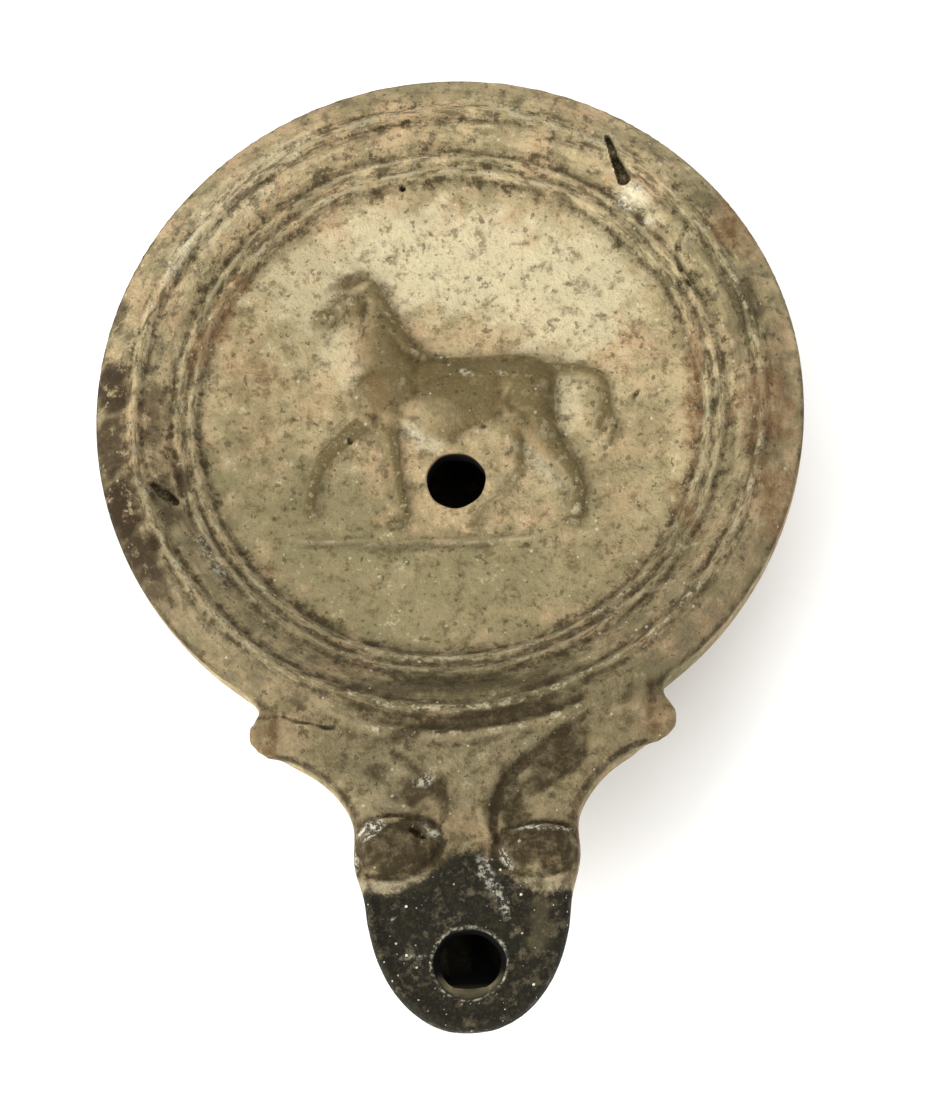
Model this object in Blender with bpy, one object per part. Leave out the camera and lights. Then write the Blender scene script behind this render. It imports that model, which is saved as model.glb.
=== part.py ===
"""Roman oil lamp of fired clay, with a volute nozzle and a horse in relief on its discus.

Metres, +Z up. The lamp stands on its base at the origin, on the axis of its round body, and the nozzle
points along -Y. It is one hollow piece of clay: a turned body and a nozzle with its scrolls and relief are
joined, and the oil chamber, the nozzle's channel, the filling hole and the wick hole are cut out of it.
"""

import math

import bmesh
import bpy
from mathutils import Matrix, Vector

# Body
BODY_RADIUS = 0.041
BODY_HEIGHT = 0.027
BASE_RADIUS = 0.020
FOOT_HEIGHT = 0.0012
WALL = 0.003
BASE_GROOVE_INSET = 0.0026
BASE_GROOVE_WIDTH = 0.0012
BASE_GROOVE_DEPTH = 0.0006

# Mouldings between the body's edge and the discus, from the outside in, and how far each lies under the crest
SHOULDER_WIDTH = 0.0045
SHOULDER_DROP = 0.0028
RIDGE_WIDTH = 0.0010
RIDGE_DEPTH = 0.0008
BAND_WIDTH = 0.0031
BAND_DROP = 0.0024
RING_WIDTH = 0.0016
RING_DEPTH = 0.0005
STEP_WIDTH = 0.0015
STEP_DROP = 0.0037
DISCUS_DISH = 0.0017

# Holes
FILLING_HOLE_RADIUS = 0.0034
FILLING_HOLE_X = 0.0004
FILLING_HOLE_Y = -0.0073
WICK_HOLE_RADIUS = 0.0042
WICK_HOLE_FROM_TIP = 0.0087
WICK_HOLE_DEPTH = 0.0065
WICK_HOLE_FOOT = 0.45

# Nozzle: a rounded wick pad at the tip, a waist beside the scrolls and a neck that flares to the shoulder
NOZZLE_SHIFT = 0.0006
NOZZLE_LENGTH = 0.0343
NOZZLE_DROP = 0.0018
PAD_HALF_WIDTH = 0.0119
PAD_LENGTH = 0.0170
PAD_DEPTH = 0.0130
TIP_DEPTH = 0.0015
ROOT_DEPTH = 0.0150
ROOT_SINK = 0.0045
ROOT_NARROWING = 0.8
WAIST_LENGTH = 0.0080
WAIST_HALF_WIDTH = 0.0127
FLARE_LENGTH = 0.0097
FLARE_WIDTH = 0.0096
FLARE_POWER = 1.6
EDGE_ROUND = 0.0015

# How the undersides are rounded across: under 1 is fuller than an ellipse, over 1 is leaner
PAD_KEEL = 0.65
ROOT_KEEL = 1.1

# How the underside rises to the tip: 1 is an ellipse, over 1 draws back further under the tip
TIP_LEAN = 1.4

# Scroll ends: a knob at each side of the shoulder and a disc at each side of the waist
KNOB_ANGLE = math.radians(29.9)
KNOB_OUT = 0.0033
KNOB_RADIUS = 0.0031
KNOB_DEPTH = 0.0085
KNOB_LEAN = 0.5
KNOB_DOME = 0.0005
DISC_INSET = 0.0041
DISC_BELOW_FLARE = 0.0026
DISC_LENGTH = 0.0047
DISC_WIDTH = 0.0033
DISC_DOME = 0.0012
DISC_DEPTH = 0.0100

# The nozzle's middle field, its raised rims and the hollow beside each
FIELD_ANGLE = math.radians(22)
FIELD_WAIST = 0.0019
FIELD_WAIST_UP = 0.0023
RIM_RADIUS = 0.0006
RIM_RISE = 0.0002
HOLLOW_DEPTH = 0.0007

# Horse on the discus, drawn on a grid this many squares high, and the line it walks on
HORSE_HEIGHT = 0.0330
HORSE_SQUARES = 33
HORSE_Y = 0.0005
HORSE_RELIEF = 0.0017
RELIEF_SINK = 0.0002
GROUND_LINE_UP = -15.6
GROUND_LINE_START = -15.5
GROUND_LINE_END = 9.6
GROUND_LINE_RADIUS = 0.00040

# Gouge across the shoulder mouldings
GOUGE_LENGTH = 0.0054
GOUGE_WIDTH = 0.0014
GOUGE_DEPTH = 0.0016
GOUGE_ANGLE = math.radians(56.8)
GOUGE_TURN = math.radians(-72)

# Steps round each turned or swept piece
BODY_STEPS = 72
CHAMBER_STEPS = 40
NOZZLE_STEPS = 24
CHANNEL_STEPS = 16
DRUM_STEPS = 16
TUBE_STEPS = 8
HOLE_STEPS = 24

# Worked out from the sizes above
EDGE_Z = BODY_HEIGHT - SHOULDER_DROP
CREST_RADIUS = BODY_RADIUS - SHOULDER_WIDTH
RING_RADIUS = CREST_RADIUS - RIDGE_WIDTH - BAND_WIDTH
DISCUS_RADIUS = RING_RADIUS - RING_WIDTH - STEP_WIDTH
DISCUS_EDGE_Z = BODY_HEIGHT - STEP_DROP
NOZZLE_Z = BODY_HEIGHT - NOZZLE_DROP
TIP_Y = -BODY_RADIUS - NOZZLE_LENGTH
WICK_HOLE_Y = TIP_Y + WICK_HOLE_FROM_TIP
PAD_Y = TIP_Y + PAD_LENGTH
FLARE_Y = PAD_Y + WAIST_LENGTH
ROOT_Y = -0.75 * BODY_RADIUS
FIELD_WAIST_Y = FLARE_Y + FIELD_WAIST_UP
FIELD_RADIUS = BODY_RADIUS - 0.33 * SHOULDER_WIDTH
SQUARE = HORSE_HEIGHT / HORSE_SQUARES

# The horse's parts, as (along, up, half width) in squares of its grid, from the middle of the discus
TRUNK = [(-8, 3.2, 2.8), (-5, 3.2, 4.2), (-1, 2.5, 4.7), (3, 3.4, 3.9), (6.5, 4.2, 3), (9, 3.8, 3)]
NECK = [(-6.3, 5, 4.1), (-6.7, 8, 3.4), (-7.5, 10.2, 2.5), (-8, 13, 1.8), (-8.9, 16, 1.2)]
HEAD = [(-9.6, 15.4, 1.6), (-11.1, 14.3, 2), (-13.2, 13.6, 1.4), (-14.7, 12.7, 1.2)]
EAR = [(-9.6, 16.6, 0.6), (-9.2, 17.8, 0.4)]
FORELEG = [(-7.2, 1.5, 2.3), (-6.9, -2, 1.3), (-6.6, -5, 1), (-6.3, -8.5, 0.8), (-5.9, -12, 0.8), (-6.6, -13.8, 1.1)]
RAISED_LEG = [(-9.3, 0.2, 1.9), (-12.6, -2.8, 1.3), (-15, -4.6, 1.1), (-16, -7.2, 0.85), (-16.3, -11, 0.8)]
HIND_LEG = [(9.2, 3, 3.1), (10.8, -0.8, 2.3), (12.8, -4.2, 1.5), (14.8, -8, 1.1), (15, -11, 0.9), (14.4, -13.7, 1.2)]
FAR_HIND_LEG = [(7.2, 0.8, 1.9), (8.2, -3.2, 1.4), (8.4, -6.6, 1), (7.2, -9.4, 0.9), (5.2, -11.5, 0.8), (3.5, -13.6, 1.1)]
TAIL = [(10.8, 5.3, 1.1), (14.5, 5.2, 0.8), (16.6, 4.6, 0.8), (17.9, 2.8, 0.9), (18.1, 0.4, 0.9), (17.2, -2.9, 0.5)]
TAIL_FORK = [(18.1, 0.8, 0.7), (19, -2.2, 0.65), (18.5, -4.2, 0.45)]
HORSE_PARTS = [TRUNK, NECK, HEAD, EAR, FORELEG, RAISED_LEG, HIND_LEG, FAR_HIND_LEG, TAIL, TAIL_FORK]


def clear_scene():
    """Removes whatever the file opened with."""
    for obj in list(bpy.data.objects):
        bpy.data.objects.remove(obj)


def fired_clay():
    """Matt buff clay."""
    material = bpy.data.materials.new("fired_clay")
    material.use_nodes = True
    shader = material.node_tree.nodes["Principled BSDF"]
    shader.inputs["Base Color"].default_value = (0.47, 0.41, 0.28, 1)
    shader.inputs["Roughness"].default_value = 0.82
    shader.inputs["Metallic"].default_value = 0
    return material


def add_object(name, bm, collection):
    """Puts a finished bmesh in the scene as one object."""
    bmesh.ops.recalc_face_normals(bm, faces=bm.faces)
    mesh = bpy.data.meshes.new(name)
    bm.to_mesh(mesh)
    bm.free()
    obj = bpy.data.objects.new(name, mesh)
    collection.objects.link(obj)
    return obj


def add_helper(name, bm, collection):
    """A solid that is only joined to the lamp or cut out of it."""
    obj = add_object(name, bm, collection)
    obj.hide_render = True
    obj.display_type = "WIRE"
    return obj


def quarter_curve(start, end, steps):
    """Points of a quarter ellipse that leaves start level and reaches end upright, without start itself."""
    points = []
    for step in range(1, steps + 1):
        turn = math.pi / 2 * step / steps
        points.append((
            start[0] + (end[0] - start[0]) * math.sin(turn),
            start[1] + (end[1] - start[1]) * (1 - math.cos(turn)),
        ))
    return points


def turned(profile, steps):
    """The solid that a profile of (radius, height) points makes round Z. Its two ends lie on the axis."""
    bm = bmesh.new()
    verts = [bm.verts.new((radius, 0, height)) for radius, height in profile]
    edges = [bm.edges.new(pair) for pair in zip(verts, verts[1:])]
    bmesh.ops.spin(
        bm, geom=verts + edges, cent=(0, 0, 0), axis=(0, 0, 1), angle=math.tau, steps=steps, use_merge=True
    )
    bmesh.ops.remove_doubles(bm, verts=bm.verts, dist=1e-6)
    return bm


def lofted(segments, rings, place):
    """A closed tube. place(turn, ring) gives the point at an angle round each of its rings, 0 to rings."""
    bm = bmesh.new()
    bmesh.ops.create_cone(bm, cap_ends=True, segments=segments, radius1=1, radius2=1, depth=1)
    uprights = [edge for edge in bm.edges if abs(edge.verts[0].co.z - edge.verts[1].co.z) > 0.5]
    bmesh.ops.subdivide_edges(bm, edges=uprights, cuts=rings - 1)
    for vert in bm.verts:
        vert.co = place(math.atan2(vert.co.y, vert.co.x), round((vert.co.z + 0.5) * rings))
    return bm


def discus_z(x, y):
    """Height of the dished discus at a point."""
    share = min(1, math.hypot(x, y) / DISCUS_RADIUS)
    return DISCUS_EDGE_Z - DISCUS_DISH * math.cos(math.pi / 2 * share)


def body_profile():
    """The body's outside, from the middle of the base round to the middle of the discus."""
    groove_out = BASE_RADIUS - BASE_GROOVE_INSET
    groove_in = groove_out - BASE_GROOVE_WIDTH
    points = [
        (0, 0),
        (groove_in, 0),
        ((groove_in + groove_out) / 2, BASE_GROOVE_DEPTH),
        (groove_out, 0),
        (BASE_RADIUS, 0),
        (BASE_RADIUS, FOOT_HEIGHT),
    ]
    points += quarter_curve((BASE_RADIUS, FOOT_HEIGHT), (BODY_RADIUS, EDGE_Z), 9)
    for share, rise in ((0.06, 0.18), (0.25, 0.38), (0.60, 0.68), (0.86, 0.93), (1, 1)):
        points.append((BODY_RADIUS - share * SHOULDER_WIDTH, EDGE_Z + rise * SHOULDER_DROP))
    groove = CREST_RADIUS - RIDGE_WIDTH
    points += [
        (CREST_RADIUS - 0.45 * RIDGE_WIDTH, BODY_HEIGHT - 0.15 * RIDGE_DEPTH),
        (groove, BODY_HEIGHT - RIDGE_DEPTH),
        (groove - 0.28 * BAND_WIDTH, BODY_HEIGHT - RIDGE_DEPTH),
    ]
    for share, drop in ((0.60, 0.38), (0.86, 0.78), (1, 1.12)):
        points.append((
            groove - share * BAND_WIDTH,
            BODY_HEIGHT - RIDGE_DEPTH - drop * (BAND_DROP - RIDGE_DEPTH),
        ))
    for share, drop in ((0.25, 0), (0.60, 0), (1, 1)):
        points.append((RING_RADIUS - share * RING_WIDTH, BODY_HEIGHT - BAND_DROP - drop * RING_DEPTH))
    inner = RING_RADIUS - RING_WIDTH
    points += [
        (inner - 0.35 * STEP_WIDTH, BODY_HEIGHT - BAND_DROP - 0.7 * RING_DEPTH),
        (inner - 0.65 * STEP_WIDTH, BODY_HEIGHT - BAND_DROP - RING_DEPTH),
    ]
    for share in (1, 0.82, 0.6, 0.3):
        points.append((share * DISCUS_RADIUS, discus_z(share * DISCUS_RADIUS, 0)))
    points.append((0, discus_z(0, 0)))
    return points


def chamber_profile():
    """The oil chamber, one wall inside the body."""
    points = [(0, WALL), (BASE_RADIUS - WALL, WALL)]
    points += quarter_curve(points[-1], (BODY_RADIUS - WALL, EDGE_Z - 0.6 * WALL), 7)
    points += [
        (CREST_RADIUS, EDGE_Z - 0.1 * WALL),
        (RING_RADIUS, BODY_HEIGHT - BAND_DROP - WALL),
        (DISCUS_RADIUS, DISCUS_EDGE_Z - WALL),
        (0.5 * DISCUS_RADIUS, discus_z(0.5 * DISCUS_RADIUS, 0) - WALL),
        (0, discus_z(0, 0) - WALL),
    ]
    return points


def nozzle_half_width(y):
    """Half the nozzle's width at y: a rounded pad, a short waist, then a hollow curve out to the body."""
    along = y - PAD_Y
    if along <= 0:
        return PAD_HALF_WIDTH * math.sqrt(max(0, 1 - (along / PAD_LENGTH) ** 2))
    if along <= WAIST_LENGTH:
        return PAD_HALF_WIDTH + (WAIST_HALF_WIDTH - PAD_HALF_WIDTH) * along / WAIST_LENGTH
    up = min(1, (along - WAIST_LENGTH) / FLARE_LENGTH)
    return WAIST_HALF_WIDTH + FLARE_WIDTH * (1 - (1 - up**FLARE_POWER) ** (1 / FLARE_POWER))


def nozzle_depth(y):
    """How far the nozzle's underside lies below its top at y."""
    along = y - PAD_Y
    if along <= 0:
        share = max(0, 1 - (along / PAD_LENGTH) ** 2) ** (TIP_LEAN / 2)
        return TIP_DEPTH + (PAD_DEPTH - TIP_DEPTH) * share
    return PAD_DEPTH + (ROOT_DEPTH - PAD_DEPTH) * along / (ROOT_Y - PAD_Y)


def section_point(turn, y, half_width, top, depth):
    """A point of the nozzle's cross-section at y, with a flat top, rounded corners and a rounded keel."""
    edge = min(EDGE_ROUND, depth / 2)
    across, up = math.cos(turn), math.sin(turn)
    if up >= 0:
        return half_width * math.copysign(abs(across) ** 0.25, across), top - edge + edge * up**0.25
    spread = max(0, nozzle_half_width(y) - WAIST_HALF_WIDTH) / FLARE_WIDTH
    keel = PAD_KEEL + (ROOT_KEEL - PAD_KEEL) * spread
    return half_width * math.copysign(abs(across) ** keel, across), top - edge - (depth - edge) * abs(up)


def nozzle_solid():
    """The nozzle's outside, from its tip to its root, which is sunk inside the body."""
    pad = [PAD_Y - PAD_LENGTH * math.cos(math.radians(turn)) for turn in (3, 14, 26, 40, 56, 73, 90)]
    neck = [FLARE_Y + FLARE_LENGTH * share for share in (0, 0.22, 0.44, 0.64, 0.80, 0.91, 0.97)]
    meets_body = -math.sqrt(BODY_RADIUS**2 - (WAIST_HALF_WIDTH + FLARE_WIDTH) ** 2)
    rings = [(y, 1, 0) for y in (*pad, *neck, meets_body)] + [(ROOT_Y, ROOT_NARROWING, ROOT_SINK)]

    def place(turn, ring):
        y, share, sink = rings[ring]
        x, z = section_point(turn, y, share * nozzle_half_width(y), NOZZLE_Z - sink, nozzle_depth(y))
        return NOZZLE_SHIFT + x, y, z

    return lofted(NOZZLE_STEPS, len(rings) - 1, place)


def channel_solid():
    """The channel from the oil chamber to the wick hole, one wall inside the nozzle, with a sloping end."""
    end = WICK_HOLE_Y - 0.5 * WICK_HOLE_RADIUS
    rings = [(end, 0.3, 0), (end + 0.3 * WICK_HOLE_RADIUS, 0.72, 0), (end + 0.7 * WICK_HOLE_RADIUS, 1, 0)]
    rings += [(PAD_Y, 1, 0)]
    rings += [(FLARE_Y + reach * FLARE_LENGTH, 1, 0) for reach in (0, 0.5, 0.9)]
    rings += [(ROOT_Y, ROOT_NARROWING**2, ROOT_SINK)]

    def place(turn, ring):
        y, share, sink = rings[ring]
        half_width = (nozzle_half_width(y) - WALL) * share
        depth = (nozzle_depth(y) - 2 * WALL) * share
        x, z = section_point(turn, y, half_width, NOZZLE_Z - WALL - sink, depth)
        return NOZZLE_SHIFT + x, y, z

    return lofted(CHANNEL_STEPS, len(rings) - 1, place)


def filling_hole():
    """A round hole through the discus."""
    bm = bmesh.new()
    low, high = DISCUS_EDGE_Z - DISCUS_DISH - 2 * WALL, BODY_HEIGHT + WALL
    bmesh.ops.create_cone(
        bm, cap_ends=True, segments=HOLE_STEPS,
        radius1=FILLING_HOLE_RADIUS, radius2=FILLING_HOLE_RADIUS, depth=high - low,
    )
    bmesh.ops.translate(bm, verts=bm.verts, vec=(FILLING_HOLE_X, FILLING_HOLE_Y, (low + high) / 2))
    return bm


def wick_hole():
    """A round hole through the wick pad. Its tip side slopes back into the channel."""
    rings = [(WICK_HOLE_FOOT, -WICK_HOLE_DEPTH), (1, -0.1 * WICK_HOLE_DEPTH), (1, 0), (1, WALL)]

    def place(turn, ring):
        share, rise = rings[ring]
        reach = share * WICK_HOLE_RADIUS
        x, y = reach * math.cos(turn), WICK_HOLE_RADIUS - reach + reach * math.sin(turn)
        return NOZZLE_SHIFT + x, WICK_HOLE_Y + y, NOZZLE_Z + rise

    return lofted(HOLE_STEPS, len(rings) - 1, place)


def drum(x, y, half_length, half_width, top, depth, dome, lean=0):
    """An oval drum with a domed top and a foot that draws in and leans to the body, for a scroll's end."""
    rings = [
        (0.30, -depth), (0.78, -0.55 * depth), (1, -0.16 * depth),
        (0.97, -0.3 * dome), (0.72, 0.6 * dome), (0.3, dome),
    ]

    def place(turn, ring):
        share, rise = rings[ring]
        back = 1 + lean * min(0, rise) / math.hypot(x, y)
        along, across = share * half_length * math.cos(turn), share * half_width * math.sin(turn)
        return back * x + along, back * y + across, top + rise

    return lofted(DRUM_STEPS, len(rings) - 1, place)


def swept(path, rise):
    """A tube along a path of (x, y, half width, height of its middle), with rounded ends and low sides."""
    first, last = path[0], path[-1]

    def beyond(end, other):
        step = Vector((end[0] - other[0], end[1] - other[1])).normalized() * 0.8 * end[2]
        return end[0] + step.x, end[1] + step.y, 0.45 * end[2], end[3]

    points = [beyond(first, path[1]), *path, beyond(last, path[-2])]

    def place(turn, ring):
        x, y, half, middle = points[ring]
        before, after = points[max(0, ring - 1)], points[min(len(points) - 1, ring + 1)]
        way = Vector((after[0] - before[0], after[1] - before[1])).normalized()
        out = half * math.cos(turn)
        return x - way.y * out, y + way.x * out, middle + rise(half) * math.sin(turn)

    return lofted(TUBE_STEPS, len(points) - 1, place)


def horse_part(stations):
    """One part of the horse, half sunk in the discus. Thick parts stand out more than thin ones."""
    path = []
    for along, up, half in stations:
        x, y = along * SQUARE, HORSE_Y + up * SQUARE
        path.append((x, y, half * SQUARE, discus_z(x, y) - RELIEF_SINK))
    fullest = max(half for _, _, half in TRUNK) * SQUARE
    return swept(path, lambda half: HORSE_RELIEF * math.sqrt(half / fullest))


def ground_line():
    """The raised line that the horse walks on."""
    path = []
    for step in range(7):
        x = SQUARE * (GROUND_LINE_START + (GROUND_LINE_END - GROUND_LINE_START) * step / 6)
        y = HORSE_Y + SQUARE * GROUND_LINE_UP
        path.append((x, y, GROUND_LINE_RADIUS, discus_z(x, y) - RELIEF_SINK / 2))
    return swept(path, lambda half: half)


def field_half_width(y):
    """Half the width of the nozzle's middle field at y, between its waist and the shoulder."""
    spread = FIELD_RADIUS * math.sin(FIELD_ANGLE) - NOZZLE_SHIFT - FIELD_WAIST
    share = max(0, y - FIELD_WAIST_Y) / (-FIELD_RADIUS * math.cos(FIELD_ANGLE) - FIELD_WAIST_Y)
    return FIELD_WAIST + spread * share**1.88


def rim_path(side):
    """The raised line beside the middle field, from the shoulder in to the waist and out under the scroll."""
    shoulder_y = -FIELD_RADIUS * math.cos(FIELD_ANGLE)
    middle = NOZZLE_Z + RIM_RISE
    path = []
    for share in (0.95, 0.82, 0.68, 0.54, 0.4, 0.25, 0.1):
        y = FIELD_WAIST_Y + share * (shoulder_y - FIELD_WAIST_Y)
        path.append((NOZZLE_SHIFT + side * field_half_width(y), y, RIM_RADIUS, middle))
    reach, drop = 0.97 * PAD_HALF_WIDTH - FIELD_WAIST, FIELD_WAIST_Y - PAD_Y - 0.1 * WAIST_LENGTH
    for turn in (10, 30, 48, 64, 78, 90):
        x = FIELD_WAIST + reach * (1 - math.cos(math.radians(turn)))
        y = FIELD_WAIST_Y - drop * math.sin(math.radians(turn))
        path.append((NOZZLE_SHIFT + side * x, y, RIM_RADIUS * (1 + turn / 150), middle))
    return path


def border_path():
    """The raised line where the nozzle's middle field meets the shoulder."""
    path = []
    for step in range(8):
        turn = FIELD_ANGLE * (step / 3.5 - 1)
        x, y = FIELD_RADIUS * math.sin(turn), -FIELD_RADIUS * math.cos(turn)
        path.append((x, y, RIM_RADIUS, NOZZLE_Z + RIM_RISE))
    return path


def hollow_path(side):
    """The shallow hollow between a rim and the nozzle's edge."""
    path = []
    for share, fullness in ((0.92, 0.2), (0.76, 0.27), (0.6, 0.3), (0.45, 0.29), (0.3, 0.23)):
        y = FLARE_Y + share * FLARE_LENGTH
        inner, outer = field_half_width(y), nozzle_half_width(y)
        path.append((NOZZLE_SHIFT + side * (inner + outer) / 2, y, fullness * (outer - inner), NOZZLE_Z))
    return path


def gouge_solid():
    """A short knife gouge across the shoulder's ridge, wider at its inner end."""
    bm = bmesh.new()
    bmesh.ops.create_cube(bm, size=1)
    for vert in bm.verts:
        width = GOUGE_WIDTH * (0.5 if vert.co.x < 0 else 1) * (0.6 if vert.co.z < 0 else 1)
        vert.co = (vert.co.x * GOUGE_LENGTH, vert.co.y * width, vert.co.z * 4 * GOUGE_DEPTH)
    bmesh.ops.transform(bm, matrix=Matrix.Rotation(GOUGE_TURN, 4, "Z"), verts=bm.verts)
    middle = CREST_RADIUS - 0.5 * RIDGE_WIDTH
    place = (middle * math.cos(GOUGE_ANGLE), middle * math.sin(GOUGE_ANGLE), BODY_HEIGHT + GOUGE_DEPTH)
    bmesh.ops.translate(bm, verts=bm.verts, vec=place)
    return bm


def add_joined_shapes(collection):
    """All that is modelled on the turned body before it is hollowed."""
    add_helper("nozzle", nozzle_solid(), collection)
    knob_out = BODY_RADIUS + KNOB_OUT
    for side, word in ((-1, "left"), (1, "right")):
        x, y = NOZZLE_SHIFT + side * knob_out * math.sin(KNOB_ANGLE), -knob_out * math.cos(KNOB_ANGLE)
        knob = drum(x, y, KNOB_RADIUS, KNOB_RADIUS, NOZZLE_Z - KNOB_DOME, KNOB_DEPTH, KNOB_DOME, KNOB_LEAN)
        add_helper(f"knob_{word}", knob, collection)
        x, y = NOZZLE_SHIFT + side * (WAIST_HALF_WIDTH - DISC_INSET), FLARE_Y - DISC_BELOW_FLARE
        disc = drum(x, y, DISC_LENGTH, DISC_WIDTH, NOZZLE_Z, DISC_DEPTH, DISC_DOME)
        add_helper(f"scroll_disc_{word}", disc, collection)
        add_helper(f"rim_{word}", swept(rim_path(side), lambda half: half), collection)
    add_helper("nozzle_border", swept(border_path(), lambda half: half), collection)
    for number, stations in enumerate(HORSE_PARTS, 1):
        add_helper(f"horse_{number}", horse_part(stations), collection)
    add_helper("ground_line", ground_line(), collection)


def add_hollows(collection):
    """The chamber, the channel, both holes, the hollows beside the rims and the gouge."""
    add_helper("chamber", turned(chamber_profile(), CHAMBER_STEPS), collection)
    add_helper("channel", channel_solid(), collection)
    add_helper("filling_hole", filling_hole(), collection)
    add_helper("wick_hole", wick_hole(), collection)
    for side, word in ((-1, "left"), (1, "right")):
        add_helper(f"hollow_{word}", swept(hollow_path(side), lambda half: HOLLOW_DEPTH), collection)
    add_helper("gouge", gouge_solid(), collection)


def add_boolean(obj, name, operation, collection):
    """A Boolean of an object with every shape in a collection."""
    modifier = obj.modifiers.new(name, "BOOLEAN")
    modifier.operation = operation
    modifier.operand_type = "COLLECTION"
    modifier.collection = collection
    modifier.solver = "EXACT"


def build_lamp():
    """The whole lamp, one piece of clay."""
    scene = bpy.context.scene.collection
    joined = bpy.data.collections.new("joined_shapes")
    hollows = bpy.data.collections.new("hollows")
    scene.children.link(joined)
    scene.children.link(hollows)
    add_joined_shapes(joined)
    add_hollows(hollows)
    lamp = add_object("lamp", turned(body_profile(), BODY_STEPS), scene)
    add_boolean(lamp, "join", "UNION", joined)
    add_boolean(lamp, "hollow", "DIFFERENCE", hollows)
    lamp.data.materials.append(fired_clay())
    lamp.data.set_sharp_from_angle(angle=math.radians(40))
    return lamp


clear_scene()
build_lamp()
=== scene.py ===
"""A round clay oil lamp with a walking horse on its discus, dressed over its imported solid.

The lamp stands on its base at the origin, +Z up, with its nozzle along -Y. Sizes are in millimetres until a
mesh is finished. The top of the lamp is one height over its plan, so that mouldings, scrolls, horse and wear
run softly into each other, as they do in clay pressed in a mould.
"""

import logging
import math
from collections.abc import Callable, Sequence
from dataclasses import dataclass, field
from enum import Enum

import bmesh
import bpy
import numpy as np
from mathutils import Matrix, Vector


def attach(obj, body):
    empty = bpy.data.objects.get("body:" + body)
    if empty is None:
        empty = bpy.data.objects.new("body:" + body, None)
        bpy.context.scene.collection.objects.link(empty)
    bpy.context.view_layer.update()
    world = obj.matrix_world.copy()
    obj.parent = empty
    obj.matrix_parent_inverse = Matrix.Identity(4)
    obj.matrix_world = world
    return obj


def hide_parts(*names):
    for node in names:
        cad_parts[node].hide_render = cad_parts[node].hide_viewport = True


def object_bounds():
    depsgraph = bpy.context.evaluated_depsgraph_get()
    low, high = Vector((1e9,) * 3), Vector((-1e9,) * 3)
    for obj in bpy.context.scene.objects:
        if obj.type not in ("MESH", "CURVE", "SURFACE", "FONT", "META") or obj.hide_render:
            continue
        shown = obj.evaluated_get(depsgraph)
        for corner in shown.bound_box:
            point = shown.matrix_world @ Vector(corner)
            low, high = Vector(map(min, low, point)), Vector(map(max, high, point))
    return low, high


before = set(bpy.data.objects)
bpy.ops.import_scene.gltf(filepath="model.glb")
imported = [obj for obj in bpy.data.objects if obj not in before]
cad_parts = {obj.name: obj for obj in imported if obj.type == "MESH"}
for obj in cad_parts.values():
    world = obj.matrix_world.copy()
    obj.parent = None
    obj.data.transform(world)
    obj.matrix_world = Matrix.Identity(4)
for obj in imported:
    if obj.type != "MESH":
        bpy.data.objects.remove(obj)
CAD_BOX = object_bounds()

LOG = logging.getLogger("oil_lamp")
MM = 0.001
BODY_RADIUS = round(CAD_BOX[1][0] / MM, 1)
Array = np.ndarray
Socket = bpy.types.NodeSocket
Colour = tuple[float, float, float, float]
Pair = tuple[float, float]
Station = tuple[float, float, float]


class Side(Enum):
    """The two sides of the nozzle, with the sign of X on each."""

    LEFT = -1
    RIGHT = 1


class Mask(Enum):
    """What the clay's finish reads at each point of the surface, each from 0 to 1."""

    RECESS = "recess"
    CREST = "crest"
    # Painted shade on the horse, darkest on its sides that face away from the light, over its own darker,
    # dirty tone.
    HORSE_SHADE_AND_DIRT = "horse"
    SOOT = "soot"
    SLIP = "slip"
    RUST = "rust"
    # Painted shade in the nozzle's hollows, under the ground line and on the discus's lower part, and grime
    # on the scroll discs.
    SHADE_AND_DIRT = "shade"
    # Pale crusts, with some painted highlights.
    PALE = "pale"
    # Painted light on the discus's upper part and on slopes that face the light, with paler clay in places.
    LIT_AND_PALE = "light"
    RINGS = "rings"
    # Painted shade inside the holes, with soot in the wick hole.
    HOLE_SHADE_AND_SOOT = "dark"
    # Greyer, olive clay, which on the discus's lower half is painted shade.
    GREY_AND_SHADE = "grey"
    OLIVE = "olive"
    INSIDE = "inside"


def smooth_step(values: Array, low: float, high: float) -> Array:
    """Goes softly from 0 at low to 1 at high."""
    share = np.clip((values - low) / (high - low), 0, 1)
    return share * share * (3 - 2 * share)


def soft_max(first: Array, second: Array, reach: float) -> Array:
    """The higher of two heights, with a fillet where they meet.

    Args:
        first: Heights.
        second: Heights at the same points.
        reach: Difference in height over which the two run into each other.

    Returns:
        The joined heights.
    """
    share = np.clip(0.5 + 0.5 * (first - second) / reach, 0, 1)
    return second + (first - second) * share + reach * share * (1 - share) * 0.5


def grown_together(first: Array, second: Array, hardness: float = 4.0) -> Array:
    """Two reliefs grown into one. Where either is 0, the other is unchanged."""
    first, second = np.maximum(first, 0), np.maximum(second, 0)
    return (first**hardness + second**hardness) ** (1 / hardness)


def uneven(x: Array, y: Array, size: float, seed: float) -> Array:
    """Soft hills and hollows about a given size apart, from -1 to 1.

    Args:
        x: Places across.
        y: Places along.
        size: Distance between hills.
        seed: Which pattern.

    Returns:
        The height of the pattern at each place.
    """
    column, row = np.floor(x / size), np.floor(y / size)
    across, along = x / size - column, y / size - row
    across, along = smooth_step(across, 0, 1), smooth_step(along, 0, 1)

    def corner(right: int, up: int) -> Array:
        """The pattern's value at one corner of each place's cell."""
        return np.modf(np.sin((column + right) * 127.1 + (row + up) * 311.7 + seed * 74.7) * 437.585)[0]

    low = corner(0, 0) * (1 - across) + corner(1, 0) * across
    high = corner(0, 1) * (1 - across) + corner(1, 1) * across
    return low * (1 - along) + high * along


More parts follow.
